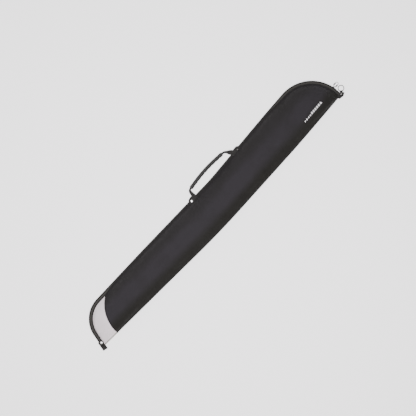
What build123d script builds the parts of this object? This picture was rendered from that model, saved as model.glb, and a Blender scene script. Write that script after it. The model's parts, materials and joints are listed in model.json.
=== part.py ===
from build123d import *
import math
import os

# Ski bag, lying on its back. Millimetres. +X runs towards the tip, +Y towards the zipped edge
# that carries the handle, +Z up out of the front face. Z = 0 is the surface it lies on.

# ---- driving dimensions of the plan outline ----
TIP_CENTRE = (664.0, -62.0)      # centre of the rounded tip, which is one circular arc
TIP_RADIUS = 197.0
TIP_START = 4.0                  # angle where the tip arc begins, degrees
TOP_SLOPE = 2.8                  # the zipped edge falls away from the crest at this slope
TAIL_CENTRE = (-723.0, -42.0)    # centre of the rounded tail
TAIL_RADIUS = 145.0
TAIL_START = 90.5
TAIL_END = 167.8
CREST_RUN = 327.0                # straight run of the zipped edge from the tip's corner
WAIST = (95.0, 101.0)            # lowest point of the zipped edge, beside the handle
TOP_REAR = (-400.0, 103.5)
BELLY = (-50.0, -114.3)          # the folded edge bows out to here
TAIL_FOOT_Y = -85.5              # where the two ends meet the folded edge
TIP_FOOT_Y = -81.2
BELLY_RADIUS = 5100.0
CORNER_RADIUS = 4.0

# ---- driving dimensions of the section: height, inset at the fold, inset at the zipped edge ----
SECTION = (
    (0.0, 14.0, 14.0),
    (6.0, 5.0, 14.0),
    (20.0, 0.0, 27.0),
    (32.0, 4.0, 48.0),
    (40.0, 11.0, 78.0),
    (44.0, 20.0, 104.0),
)
CREST = SECTION[-1][0]
SHELL = 2.0                      # outer fabric
PADDING = 4.5                    # depth of the inner face of the foam
LINING = 5.2                     # depth of the inner face of the lining

HINGE_Y = -54.0                  # the front bends open along this straight line
SPLIT_GAP = 0.6

# ---- heights of the layers at the zipped edge ----
EDGE_TAPE_BACK = (2.0, 3.0)
COIL_BACK = (3.0, 5.4)
TAPE_BACK = (3.0, 3.8)
COIL_FRONT = (6.4, 8.8)
TAPE_FRONT = (8.0, 8.8)
HEM = (8.8, 10.8)
EDGE_TAPE_FRONT = (10.8, 12.0)
TAB = (12.0, 13.6)
HEM_INSETS = (1.5, 18.0)
EDGE_TAPE_INSETS = (0.5, 16.5)
COIL_INSETS = (0.3, 3.0)
TAPE_INSETS = (3.0, 16.0)

# ---- tail guard ----
GUARD_CENTRE = (-587.0, -80.0)
GUARD_RADIUS = 190.0
BINDING_WIDTH = 3.0
BINDING_HEIGHT = 0.6

# ---- rivets ----
RIVET_LEFT = (-42.0, 95.0)
RIVET_RIGHT = (303.0, 107.0)
RIVET_TAIL = (-865.5, -65.0)
CAP_RADIUS = 7.5
CAP_HEIGHT = 3.0
POST_RADIUS = 2.2
WASHER_RADIUS = 3.4
WASHER_THICKNESS = 1.0

# ---- zipper's spare end at the tail ----
STUB_Z = (4.4, 8.6)
STUB_WIDTH = 14.0
STUB_SHIFT = 4.2                 # its middle lies this far outside the rivet
STUB_REACH = (-8.5, 35.0)        # along the edge from the rivet, up and down

# ---- handle ----
FOOT_LEFT = (-17.0, 103.2)
FOOT_RIGHT = (272.0, 114.1)
HANDLE_LEFT = (-12.0, 140.0)
HANDLE_TOP = (112.0, 156.0)
HANDLE_RIGHT = (246.0, 147.0)
HANDLE_BOW = 700.0
HANDLE_BEND = 9.0
STRAP_WIDTH = 10.0
STRAP_THICKNESS = 4.0
STRAP_CLEARANCE = 1.2            # from the bag's edge to the strap's feet
GRIP_RADIUS = 7.6
GRIP_END = 12.0                  # the grip stops this far from the strap's two bends
HANDLE_Z = 8.2
TAB_RADIUS = 12.0

# ---- slider and pull ----
SLIDER_ANGLE = 10.2              # place of the closed slider round the tip arc, degrees
SLIDER_HALF = 1.6                # half its length, as an angle
SLIDER_Z = (2.8, 9.0)
SLIDER_WALL = (0.6, 2.1)         # its outer wall, measured outwards from the tip's arc
WEB = (5.7, 6.1)                 # thin plate between the two coils
WEB_REACH = (-4.6, 0.7)
RIDER_REACH = (-5.4, -3.9)       # the wedge inside the bag that parts the coils
RIDER_TOP = 7.4
WEB_SHARE = 0.6                  # widths of the plate and the wedge, as shares of the slider's
RIDER_SHARE = 0.9
BAIL_X = (858.0, 866.4)
BAIL_HALF = (1.3, 2.7)           # half its width and height
BAIL_HOLE = (855.0, 865.2)       # the pull's bar lies in this slot
BAIL_HOLE_HALF = 1.45
PULL_BAR_X = 863.4
PULL_Y = -27.0
PULL_Z = 5.9
PULL_LENGTH = 26.0
PULL_HALF_WIDTH = 6.9
PULL_WIRE = 1.1
PULL_CORNER = 5.0
SLEEVE_REACH = (6.5, 15.5)       # from the pull's bar
SLEEVE_HALF = 2.0

# ---- hanging ring ----
RING_CENTRE = (880.6, -58.0)
RING_RADIUS = 14.5
RING_WIRE = 1.7
RING_Z = 5.0
RING_CLOCK = 228.0               # where the ring passes through its tab, degrees
LOOP_OUTER = 4.4
LOOP_INNER = 2.9
LOOP_LENGTH = 9.0
LOOP_ROOT_X = 849.0              # the loop's tail is sewn in from here
LOOP_ROOT_Y = -86.5
LOOP_ROOT_HALF = 1.6
LOOP_ROOM = 4.5                  # clear round the ring's middle line
PATCH_PLACE = (850.0, -78.0)
PATCH_SIZE = (24.0, 18.0)
PATCH_CORNER = 4.0
PATCH_THICKNESS = 1.8

# ---- printed mark ----
MARK_CENTRE = (700.0, -40.0)
MARK_SLOPE = 3.0
BAR_COUNT = 9
BAR_PITCH = 13.0
BAR_SIZE = (8.0, 7.5)
BAR_LEAN = 3.0
TRIANGLE_WIDTH = 11.0
TRIANGLE_Y = (-4.5, 6.0)
INK = 0.4                        # the mark stands this far proud
INK_BAND = (25.0, 60.0)          # it lies on the front between these heights


def polar(centre, radius, angle):
    """Point at an angle in degrees round a centre."""
    a = math.radians(angle)
    return (centre[0] + radius * math.cos(a), centre[1] + radius * math.sin(a))


def arc_corner(centre, radius, start, end):
    """Corner of the two lines that are tangent to an arc at its ends."""
    half = math.radians(end - start) / 2
    return polar(centre, radius / math.cos(half), (start + end) / 2)


def outline_corners():
    """Corners of the plan outline, counter-clockwise: point, radius and sense of the bend."""
    tip = arc_corner(TIP_CENTRE, TIP_RADIUS, TIP_START, 90 + TOP_SLOPE)
    tail = arc_corner(TAIL_CENTRE, TAIL_RADIUS, TAIL_START, TAIL_END)
    tip_lean = math.tan(math.radians(TIP_START))
    tail_lean = math.tan(math.radians(TAIL_END - 180))
    tip_foot = (tip[0] + (tip[1] - TIP_FOOT_Y) * tip_lean, TIP_FOOT_Y)
    tail_foot = (tail[0] + (tail[1] - TAIL_FOOT_Y) * tail_lean, TAIL_FOOT_Y)
    crest = polar(tip, CREST_RUN, 180 + TOP_SLOPE)
    return (
        (tail_foot, CORNER_RADIUS, 0),
        (BELLY, BELLY_RADIUS, 1),
        (tip_foot, CORNER_RADIUS, 0),
        (tip, TIP_RADIUS, 1),
        (crest, 2500.0, 1),
        (WAIST, 1500.0, -1),
        (TOP_REAR, 4000.0, 1),
        (tail, TAIL_RADIUS, 1),
    )


FOLD_SIDES = (0, 1)


def bag_face(edge_inset, fold_inset):
    """Plan outline moved inwards, by one amount at the fold and another everywhere else."""
    corners = outline_corners()
    count = len(corners)
    lines = []
    for i in range(count):
        start = Vector(*corners[i][0])
        along = (Vector(*corners[(i + 1) % count][0]) - start).normalized()
        inset = fold_inset if i in FOLD_SIDES else edge_inset
        lines.append((start + Vector(-along.Y, along.X) * inset, along))
    points = []
    radii = []
    for i in range(count):
        (p, u), (q, v) = lines[i - 1], lines[i]
        run = ((q.X - p.X) * v.Y - (q.Y - p.Y) * v.X) / (u.X * v.Y - u.Y * v.X)
        points.append(p + u * run)
        inset = fold_inset if i == 1 else edge_inset
        radii.append(corners[i][1] - corners[i][2] * inset)
    return make_face(FilletPolyline(*points, radius=radii, close=True))


def plate(face, z_range):
    """A flat piece between two heights."""
    return Pos(0, 0, z_range[0]) * extrude(face, amount=z_range[1] - z_range[0])


def rim(insets, z_range):
    """A flat band round the two ends and the zipped edge, with nothing along the fold."""
    return plate(bag_face(insets[0], 3.0) - bag_face(insets[1], -30.0), z_range)


def envelope(depth):
    """The filled bag's outer shape, moved inwards by a depth."""
    sections = []
    for i, (z, fold, edge) in enumerate(SECTION):
        lift = depth if i == 0 else -depth if i > 2 else 0
        sections.append(Pos(0, 0, z + lift) * bag_face(edge + depth, fold + depth))
    return loft(sections, ruled=True)


def around(middle, half):
    """Limits that lie the same distance each side of a middle."""
    return (middle - half, middle + half)


def block(x_range, y_range, z_range):
    """A box given by its limits."""
    size = [b - a for a, b in (x_range, y_range, z_range)]
    middle = [(a + b) / 2 for a, b in (x_range, y_range, z_range)]
    return Pos(*middle) * Box(*size)


FAR = 1200.0
FLAP_SIDE = block((-FAR, FAR), (HINGE_Y + SPLIT_GAP / 2, FAR), (-FAR, FAR))
FOLD_SIDE = block((-FAR, FAR), (-FAR, HINGE_Y - SPLIT_GAP / 2), (-FAR, FAR))


def above(z):
    """Everything over a height."""
    return block((-FAR, FAR), (-FAR, FAR), (z, FAR))


def post(place, z_range, radius=POST_RADIUS):
    """An upright cylinder, for a rivet's post or the hole it goes through."""
    return Pos(place[0], place[1], z_range[0]) * Cylinder(
        radius, z_range[1] - z_range[0], align=(Align.CENTER, Align.CENTER, Align.MIN)
    )


def rivet_cap(place, z):
    """A domed cap with its post, which goes down to the washer."""
    sphere_radius = (CAP_RADIUS**2 + CAP_HEIGHT**2) / (2 * CAP_HEIGHT)
    ball = Pos(place[0], place[1], z + CAP_HEIGHT - sphere_radius) * Sphere(sphere_radius)
    dome = ball & post(place, (z, z + 2 * CAP_HEIGHT), CAP_RADIUS)
    return dome + post(place, (TAPE_FRONT[0] - WASHER_THICKNESS, z))


def rivet_washer(place, z):
    """The flat washer that the rivet's post is closed over."""
    top = (z - WASHER_THICKNESS, z)
    return post(place, top, WASHER_RADIUS) - post(place, top)


def layer(outer, inner):
    """The skin between two depths under the bag's outer shape."""
    return envelope(outer) - envelope(inner)


def guard_region():
    """Plan area of the light tail guard: all that lies behind its curved front seam."""
    behind = block((-FAR, GUARD_CENTRE[0]), (-FAR, FAR), (-FAR, FAR))
    return behind - post(GUARD_CENTRE, (-FAR, FAR), GUARD_RADIUS)


def fabric_nodes():
    """Shells, foam, lining and tail guard, in front and at the back."""
    guard = guard_region()
    outer = layer(0, SHELL)
    foam = layer(SHELL, PADDING)
    lining = layer(PADDING, LINING)
    hem = rim(HEM_INSETS, HEM) - envelope(0)
    seam = post(GUARD_CENTRE, (-FAR, FAR), GUARD_RADIUS)
    seam -= post(GUARD_CENTRE, (-FAR, FAR), GUARD_RADIUS - BINDING_WIDTH)
    seam &= block((-FAR, GUARD_CENTRE[0]), (-FAR, FAR), (-FAR, FAR))
    cord = (layer(-BINDING_HEIGHT, 0) & seam & above(EDGE_TAPE_FRONT[1])) - rim(
        (0, 20), (0, FAR)
    )

    front = outer & above(HEM[0]) & FLAP_SIDE
    fold = outer & above(SHELL) & FOLD_SIDE
    front_hem = hem & FLAP_SIDE
    for place in (RIVET_LEFT, RIVET_RIGHT):
        front_hem -= post(place, HEM)
    back = plate(bag_face(HEM_INSETS[0], SECTION[0][1]), (0, SHELL))

    return {
        "front_panel": front - guard,
        "tail_guard_front": front & guard,
        "fold_panel": fold - guard,
        "tail_guard_fold": fold & guard,
        "front_hem": front_hem,
        "fold_hem": group((hem & FOLD_SIDE - post(RIVET_TAIL, HEM)).solids()),
        "back_panel": back - guard,
        "tail_guard_back": back & guard,
        "front_padding": foam & above(HEM[0]) & FLAP_SIDE,
        "fold_padding": foam & above(PADDING) & FOLD_SIDE,
        "back_padding": plate(bag_face(18.5, 16.0), (SHELL, PADDING)),
        "front_lining": lining & above(HEM[0]) & FLAP_SIDE,
        "fold_lining": lining & above(LINING) & FOLD_SIDE,
        "back_lining": plate(bag_face(18.5, 18.5), (PADDING, LINING)),
        "guard_binding_front": cord & FLAP_SIDE,
        "guard_binding_fold": cord & FOLD_SIDE,
    }


def stop_zone(x_sign):
    """The end of the zipper that a metal stop takes, at the tip or at the tail."""
    x_range = (0, FAR) if x_sign > 0 else (-FAR, 0)
    return block(x_range, (HINGE_Y, HINGE_Y + 8.0), (-FAR, FAR))


def zipper_nodes():
    """Both halves of the zipper, its edge tapes and its end stops."""
    stops = stop_zone(1) + stop_zone(-1)
    coil_front = rim(COIL_INSETS, COIL_FRONT) & FLAP_SIDE
    coil_back = rim(COIL_INSETS, COIL_BACK) & FLAP_SIDE
    tape_front = rim(TAPE_INSETS, TAPE_FRONT) & FLAP_SIDE
    edge_front = rim(EDGE_TAPE_INSETS, EDGE_TAPE_FRONT) - envelope(0)
    edge_tail = edge_front & FOLD_SIDE & block((-FAR, 0), (-FAR, FAR), (-FAR, FAR))
    edge_front &= FLAP_SIDE
    for place in (RIVET_LEFT, RIVET_RIGHT):
        tape_front -= post(place, TAPE_FRONT)
        edge_front -= post(place, EDGE_TAPE_FRONT)
    return {
        "zipper_coil_front": coil_front - stops,
        "zipper_coil_back": coil_back - stops,
        "zipper_stops_front": coil_front & stops,
        "zipper_stops_back": coil_back & stops,
        "zipper_tape_front": tape_front,
        "zipper_tape_back": rim(TAPE_INSETS, TAPE_BACK) & FLAP_SIDE,
        "edge_tape_front": edge_front,
        "edge_tape_tail": edge_tail - post(RIVET_TAIL, EDGE_TAPE_FRONT),
        "edge_tape_back": rim(EDGE_TAPE_INSETS, EDGE_TAPE_BACK) & FLAP_SIDE,
    }


def slider_arc(inner, outer, half_angle, z_range):
    """A piece of the slider: part of a ring about the tip's centre, from inset to inset."""
    rings = Circle(TIP_RADIUS + outer) - Circle(TIP_RADIUS + inner)
    reach = 2 * TIP_RADIUS
    a, b = SLIDER_ANGLE - half_angle, SLIDER_ANGLE + half_angle
    wedge = make_face(Polyline((0, 0), polar((0, 0), reach, a), polar((0, 0), reach, b), close=True))
    return Pos(TIP_CENTRE[0], TIP_CENTRE[1], 0) * plate(rings & wedge, z_range)


def slider_nodes():
    """The slider that runs round the edge, its bail, and the wire pull with its sleeve."""
    slider = slider_arc(*SLIDER_WALL, SLIDER_HALF, SLIDER_Z)
    slider += slider_arc(*WEB_REACH, SLIDER_HALF * WEB_SHARE, WEB)
    slider += slider_arc(*RIDER_REACH, SLIDER_HALF * RIDER_SHARE, (WEB[0], RIDER_TOP))
    bail = block(BAIL_X, around(PULL_Y, BAIL_HALF[0]), around(PULL_Z, BAIL_HALF[1]))
    bail -= block(BAIL_HOLE, around(PULL_Y, FAR), around(PULL_Z, BAIL_HOLE_HALF))
    bail -= Pos(*TIP_CENTRE, 0) * Cylinder(TIP_RADIUS + SLIDER_WALL[1], CREST)

    end_x = PULL_BAR_X + PULL_LENGTH
    low, high = PULL_Y - PULL_HALF_WIDTH, PULL_Y + PULL_HALF_WIDTH
    corners = ((PULL_BAR_X, low), (end_x, low), (end_x, high), (PULL_BAR_X, high))
    path = FilletPolyline(*corners, radius=PULL_CORNER, close=True)
    loop = loop_wire(path, PULL_WIRE, PULL_Z)
    sleeve_x = [PULL_BAR_X + reach for reach in SLEEVE_REACH]
    sleeve_z = around(PULL_Z, SLEEVE_HALF)
    sleeve = block(sleeve_x, (low - SLEEVE_HALF, high + SLEEVE_HALF), sleeve_z)
    sleeve -= block(sleeve_x, (low + SLEEVE_HALF, high - SLEEVE_HALF), sleeve_z)
    return {
        "zipper_slider": slider,
        "slider_bail": bail,
        "pull_loop": loop,
        "pull_sleeves": sleeve - loop,
    }


def loop_wire(path, radius, z):
    """Round wire bent along a flat path."""
    start = path @ 0
    along = path % 0
    section = Plane(origin=start, z_dir=along) * Circle(radius)
    return Pos(0, 0, z) * sweep(section, path=path)


def handle_nodes():
    """The strap, the moulded grip round it, and the two tabs that hold it."""
    outline = (FOOT_LEFT, HANDLE_LEFT, HANDLE_TOP, HANDLE_RIGHT, FOOT_RIGHT)
    path = FilletPolyline(*outline, radius=(HANDLE_BEND, HANDLE_BOW, HANDLE_BEND))
    ends = Plane(origin=path @ 0, z_dir=path % 0, x_dir=(0, 0, 1))
    strap = Pos(0, 0, HANDLE_Z) * sweep(ends * Rectangle(STRAP_THICKNESS, STRAP_WIDTH), path=path)
    strap -= plate(bag_face(-STRAP_CLEARANCE, 0), (0, 3 * HANDLE_Z))
    left, top, right = Vector(*HANDLE_LEFT), Vector(*HANDLE_TOP), Vector(*HANDLE_RIGHT)
    grip_left = left + (top - left).normalized() * GRIP_END
    grip_right = right + (top - right).normalized() * GRIP_END
    middle = FilletPolyline(grip_left, top, grip_right, radius=HANDLE_BOW)
    grip = loop_wire(middle, GRIP_RADIUS, HANDLE_Z) - strap

    tab_left = tab(RIVET_LEFT, (FOOT_LEFT[0] + 13.0, 83.0), (FOOT_LEFT[0] + 13.0, 101.0))
    tab_right = tab(RIVET_RIGHT, (FOOT_RIGHT[0] - 13.0, 110.5), (FOOT_RIGHT[0] - 13.0, 92.0))
    rivets = (RIVET_LEFT, RIVET_RIGHT)
    return {
        "handle_strap": strap,
        "handle_grip": grip,
        "handle_tab_left": tab_left - post(RIVET_LEFT, TAB),
        "handle_tab_right": tab_right - post(RIVET_RIGHT, TAB),
        "handle_rivet_caps": group(rivet_cap(place, TAB[1]) for place in rivets),
        "handle_rivet_washers": group(rivet_washer(place, TAPE_FRONT[0]) for place in rivets),
    }


def tab(rivet, corner_a, corner_b):
    """A webbing tab: round about its rivet and square at the strap's foot, clear of the dome."""
    body = make_hull(
        (Pos(*rivet) * Circle(TAB_RADIUS)).edges() + Polyline(corner_a, corner_b).edges()
    )
    edge = plate(bag_face(-0.5, 0), TAB) + post(rivet, TAB, TAB_RADIUS)
    return (plate(body, TAB) & edge) - envelope(0)


def group(solids):
    """Several separate solids in one node."""
    return Compound(children=list(solids))


def tail_nodes():
    """The zipper's spare end at the tail, with the rivet that holds it."""
    along = Vector(*outline_corners()[0][0]) - Vector(*outline_corners()[7][0])
    along = along.normalized()
    inward = Vector(-along.Y, along.X)
    middle = Vector(*RIVET_TAIL) - inward * STUB_SHIFT
    first = middle + along * STUB_REACH[0]
    last = middle + along * STUB_REACH[1]
    half = inward * STUB_WIDTH / 2
    stub = make_face(Polyline(first - half, last - half, last + half, first + half, close=True))
    return {
        "tail_stub": plate(stub, STUB_Z) - envelope(0) - post(RIVET_TAIL, (0, FAR)),
        "tail_rivet_cap": rivet_cap(RIVET_TAIL, EDGE_TAPE_FRONT[1])
        + post(RIVET_TAIL, (STUB_Z[0] - WASHER_THICKNESS, EDGE_TAPE_FRONT[1])),
        "tail_rivet_washer": rivet_washer(RIVET_TAIL, STUB_Z[0]),
    }


def ring_nodes():
    """The hanging ring and the webbing loop at the tip's corner that holds it."""
    place = polar(RING_CENTRE, RING_RADIUS, RING_CLOCK)
    axis = Plane(origin=(*place, RING_Z), z_dir=Vector(*polar((0, 0), 1, RING_CLOCK + 90)))
    tunnel = axis * (Cylinder(LOOP_OUTER, LOOP_LENGTH) - Cylinder(LOOP_INNER, LOOP_LENGTH + 1))
    inner = axis * Cylinder(LOOP_INNER, LOOP_LENGTH + 1)
    root = block(
        (LOOP_ROOT_X, place[0] - 1.0), (LOOP_ROOT_Y, place[1] + 1.5), around(RING_Z, LOOP_ROOT_HALF)
    )
    ring_room = Pos(*RING_CENTRE) * Circle(RING_RADIUS + LOOP_ROOM)
    root -= inner + plate(ring_room, (0, CREST)) - tunnel
    loop = root + tunnel
    square = Pos(*PATCH_PLACE) * RectangleRounded(*PATCH_SIZE, PATCH_CORNER)
    patch = plate(square, (HEM[1], HEM[1] + PATCH_THICKNESS))
    return {
        "ring_tab_loop": loop,
        "ring_tab_patch": patch - envelope(0),
        "hanging_ring": Pos(*RING_CENTRE, RING_Z) * Torus(RING_RADIUS, RING_WIRE),
    }


def mark_nodes():
    """A plain printed mark: a row of leaning bars and a small triangle, following the surface."""
    shapes = []
    width, height = BAR_SIZE
    for i in range(BAR_COUNT):
        x = (i - BAR_COUNT / 2) * BAR_PITCH
        bar = Polyline(
            (x, -height / 2), (x + width, -height / 2),
            (x + width + BAR_LEAN, height / 2), (x + BAR_LEAN, height / 2), close=True,
        )
        shapes.append(make_face(bar))
    x = BAR_COUNT / 2 * BAR_PITCH
    foot, point = TRIANGLE_Y
    triangle = ((x, foot), (x + TRIANGLE_WIDTH, foot), (x + TRIANGLE_WIDTH / 2, point))
    shapes.append(make_face(Polyline(*triangle, close=True)))
    skin = layer(-INK, 0)
    marks = []
    for shape in shapes:
        stamp = Pos(*MARK_CENTRE, 0) * Rot(0, 0, MARK_SLOPE) * plate(shape, INK_BAND)
        marks.append(stamp & skin)
    return {"printed_mark": group(m.solids()[0] for m in marks)}


def main():
    os.makedirs("parts", exist_ok=True)
    nodes = {}
    for make in (
        fabric_nodes, zipper_nodes, slider_nodes, handle_nodes, tail_nodes, ring_nodes, mark_nodes
    ):
        nodes.update(make())
    for name, shape in nodes.items():
        export_step(shape, f"parts/{name}.step")


main()
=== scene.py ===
import json
import math

import bmesh
import bpy
import numpy as np
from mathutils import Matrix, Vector, noise
from mathutils.bvhtree import BVHTree

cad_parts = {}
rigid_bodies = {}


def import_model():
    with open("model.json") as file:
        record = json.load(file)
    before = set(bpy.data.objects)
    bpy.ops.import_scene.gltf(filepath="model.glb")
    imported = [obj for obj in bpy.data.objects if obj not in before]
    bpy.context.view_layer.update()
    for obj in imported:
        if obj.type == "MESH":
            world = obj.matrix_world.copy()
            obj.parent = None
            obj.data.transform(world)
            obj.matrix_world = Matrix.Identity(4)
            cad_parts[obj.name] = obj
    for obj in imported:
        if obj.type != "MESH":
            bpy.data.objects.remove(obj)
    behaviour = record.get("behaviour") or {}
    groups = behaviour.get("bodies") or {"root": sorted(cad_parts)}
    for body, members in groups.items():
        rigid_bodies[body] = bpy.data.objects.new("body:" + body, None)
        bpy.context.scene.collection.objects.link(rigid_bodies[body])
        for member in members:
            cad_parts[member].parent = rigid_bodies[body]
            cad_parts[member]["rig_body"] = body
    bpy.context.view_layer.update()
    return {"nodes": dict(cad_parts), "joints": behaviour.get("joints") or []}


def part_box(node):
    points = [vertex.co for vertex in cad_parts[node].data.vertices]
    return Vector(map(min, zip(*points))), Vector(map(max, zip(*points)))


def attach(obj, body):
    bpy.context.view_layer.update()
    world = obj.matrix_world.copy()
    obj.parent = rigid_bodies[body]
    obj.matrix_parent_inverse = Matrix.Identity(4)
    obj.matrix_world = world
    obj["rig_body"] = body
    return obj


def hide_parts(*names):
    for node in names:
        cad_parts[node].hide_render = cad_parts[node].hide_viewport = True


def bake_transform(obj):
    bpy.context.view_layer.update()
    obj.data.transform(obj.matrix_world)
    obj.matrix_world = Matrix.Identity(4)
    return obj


# Ski bag lying on its back. Metres, in the frame of the CAD part: +X to the tip, +Y to the
# zipped edge with the handle, +Z out of the front face.

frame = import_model()
JOINTS = {j["name"]: j for j in frame["joints"]}
MM = 0.001
UP = (0.0, 0.0, 1.0)

# ---- plan outline, as in the CAD part ----
TIP_CENTRE = np.array(JOINTS["slider_travel"]["pos_m"][:2])
TIP_RADIUS = 197 * MM
TIP_ANGLES = (4.0, 92.55)         # where the tip's arc begins and ends, degrees
TAIL_CENTRE = np.array((-0.723, -0.042))
TAIL_RADIUS = 145 * MM
TAIL_ANGLES = (90.5, 167.8)
TOP_SLOPE = 2.55                  # of the zipped edge beside the tip's arc, degrees
CREST_RUN = 327 * MM
WAIST = (0.095, 0.1025)
TOP_REAR = (-0.400, 0.1050)
BELLY = (-0.050, -0.1143)
TIP_BELLY = (0.530, -0.0988)
BELLY_RADII = (5.1, 4.0)
BEND_RADII = (4.0, 1.5, 2.5)      # of the zipped edge's three bends between its two arcs
TAIL_FOOT_Y = -85.5 * MM
TIP_FOOT_Y = -81.2 * MM

# ---- section ----
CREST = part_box("front_panel")[1].z
HEM_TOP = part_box("front_hem")[1].z
TAPE_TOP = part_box("edge_tape_front")[1].z
DOME_REACH = 112 * MM             # from the edge to where the front is as high as it gets
DOME_POWER = 2.5
HEM_TAIL = 22.3 * MM              # width of the flat hem round the tail
HEM_END = 20 * MM                 # and round the tip
HEM_SIDE = 11 * MM                # and along the zipped edge, where the front swells over it
RIM_INSET = 1.5 * MM
NOSE_TOP = 23 * MM                # the fold's rounding, measured in plan
NOSE_UNDER = 14 * MM
NOSE_SHARE = 0.45                 # height of the fold's outermost line, as a share
LEAST_LEAN = 0.35                 # a ray that meets the edge aslant counts as this square to it
FLOOR_GAP = 0.4 * MM
FLOOR_SKIN = 0.05 * MM            # nothing lies lower than this

HINGE = JOINTS["front_opens"]["pos_m"]

GUARD_CENTRE = np.array((-0.567, -0.085))
GUARD_RADIUS = 202.3 * MM

MAIN_ROWS = 38
NOSE_ROWS = 8
UNDER_ROWS = 5
HEM_ROWS = 4


def smooth(t):
    """Smooth step of a value or an array between 0 and 1."""
    t = np.clip(t, 0, 1)
    return t * t * (3 - 2 * t)


def share_between(values, limits):
    """0 up to the first limit, 1 from the second on, smooth between them."""
    return smooth((values - limits[0]) / (limits[1] - limits[0]))


def unit(vectors):
    """Vectors, the last axis of an array, at length 1."""
    return vectors / np.maximum(np.linalg.norm(vectors, axis=-1, keepdims=True), 1e-12)


def three(points, z):
    """Plan points with a height for each, or one height for all."""
    points = np.asarray(points, float)
    return np.concatenate((points, np.broadcast_to(z, points.shape[:-1])[..., None]), -1)


def steps_round(count):
    """Angles of equal steps once round."""
    return 2 * math.pi * np.arange(count) / count


def circle(centre, radius, count):
    """Plan points of a circle."""
    a = steps_round(count)
    return np.stack((centre[0] + radius * np.cos(a), centre[1] + radius * np.sin(a)), 1)


def closed(points):
    """A line that ends where it begins."""
    return np.concatenate((points, points[:1]))


def scaled(outline, share):
    """An outline drawn in towards its middle."""
    middle = outline.mean(0)
    return middle + (outline - middle) * share


def polar(centre, radius, angle):
    a = math.radians(angle)
    return np.array((centre[0] + radius * math.cos(a), centre[1] + radius * math.sin(a)))


def arc_corner(centre, radius, angles):
    """Corner of the two lines tangent to an arc at its ends."""
    half = math.radians(angles[1] - angles[0]) / 2
    return polar(centre, radius / math.cos(half), sum(angles) / 2)


def rounded_path(corners, radii, step):
    """Points along a line whose inner corners are rounded by arcs."""
    corners = [np.array(c, float) for c in corners]
    points = [corners[0]]
    for before, corner, after, radius in zip(corners, corners[1:], corners[2:], radii):
        u, v = unit(corner - before), unit(after - corner)
        turn = math.atan2(u[0] * v[1] - u[1] * v[0], float(u @ v))
        start = corner - u * radius * math.tan(abs(turn) / 2)
        side = np.array((-u[1], u[0])) * math.copysign(radius, turn)
        count = max(2, int(radius * abs(turn) / step))
        for k in range(count + 1):
            c, s = math.cos(turn * k / count), math.sin(turn * k / count)
            turned = np.array((c * side[0] - s * side[1], s * side[0] + c * side[1]))
            points.append(start + side - turned)
    points.append(corners[-1])
    return np.array(points)


def running_length(points):
    """Distance along a line at each of its points."""
    return np.concatenate(([0], np.cumsum(np.linalg.norm(np.diff(points, axis=0), axis=1))))


def resample(points, positions):
    """Points at given distances along a line, and the unit direction there."""
    lengths = running_length(points)

    def at(s):
        return np.stack([np.interp(s, lengths, points[:, k]) for k in range(points.shape[1])], 1)

    return at(positions), unit(at(positions + MM) - at(positions - MM))


def outline():
    """The zipped edge, from the tail's foot round to the tip's foot, and the folded edge."""
    tip = arc_corner(TIP_CENTRE, TIP_RADIUS, TIP_ANGLES)
    tail = arc_corner(TAIL_CENTRE, TAIL_RADIUS, TAIL_ANGLES)
    tip_lean = math.tan(math.radians(TIP_ANGLES[0]))
    tail_lean = math.tan(math.radians(TAIL_ANGLES[1] - 180))
    tip_foot = (tip[0] + (tip[1] - TIP_FOOT_Y) * tip_lean, TIP_FOOT_Y)
    tail_foot = (tail[0] + (tail[1] - TAIL_FOOT_Y) * tail_lean, TAIL_FOOT_Y)
    crest = polar(tip, CREST_RUN, 180 + TOP_SLOPE)
    zipped = rounded_path(
        (tail_foot, tail, TOP_REAR, WAIST, crest, tip, tip_foot),
        (TAIL_RADIUS, *BEND_RADII, TIP_RADIUS), 2 * MM,
    )
    folded = rounded_path((tail_foot, BELLY, TIP_BELLY, tip_foot), BELLY_RADII, 2 * MM)
    return zipped, folded


ZIPPED, FOLDED = outline()
ZIPPED_LENGTH = float(running_length(ZIPPED)[-1])
ZIPPED_DENSE = resample(ZIPPED, np.arange(0, ZIPPED_LENGTH, MM))[0].astype(np.float32)


def edge_at(positions):
    """Plan points, directions and inward normals of the zipped edge at distances along it."""
    points, along = resample(ZIPPED, np.asarray(positions, float))
    return points, along, np.stack((along[:, 1], -along[:, 0]), 1)


def position_of(x, y):
    """Distance along the zipped edge of the point nearest to a plan point."""
    return float(np.argmin(np.hypot(ZIPPED_DENSE[:, 0] - x, ZIPPED_DENSE[:, 1] - y))) * MM


TAIL_BEND = position_of(-0.560, 0.103)
TIP_BEND = position_of(0.480, 0.127)
HINGE_TAIL = position_of(-0.873, HINGE[1])
HINGE_TIP = position_of(0.861, HINGE[1])
ZIP_TAIL = position_of(-0.868, -0.036)
ZIP_TIP = position_of(0.859, -0.036)

# where the hem begins to narrow behind the tail, where it widens to the tip, and over how much
HEM_NARROWS = (position_of(-0.70, 0.10), 100 * MM)
HEM_WIDENS = (position_of(0.66, 0.13), 140 * MM)

# positions of the surface's stations along the zipped edge, closer where the front bends
END_RUN = (3 * MM, 123 * MM)
END_STATIONS = 60
MAIN_STATIONS = 440
STATION_AT = np.concatenate((
    np.linspace(END_RUN[0], END_RUN[1], END_STATIONS, endpoint=False),
    np.linspace(END_RUN[1], ZIPPED_LENGTH - END_RUN[1], MAIN_STATIONS, endpoint=False),
    np.linspace(ZIPPED_LENGTH - END_RUN[1], ZIPPED_LENGTH - END_RUN[0], END_STATIONS + 1),
))
STATIONS = len(STATION_AT)


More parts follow.
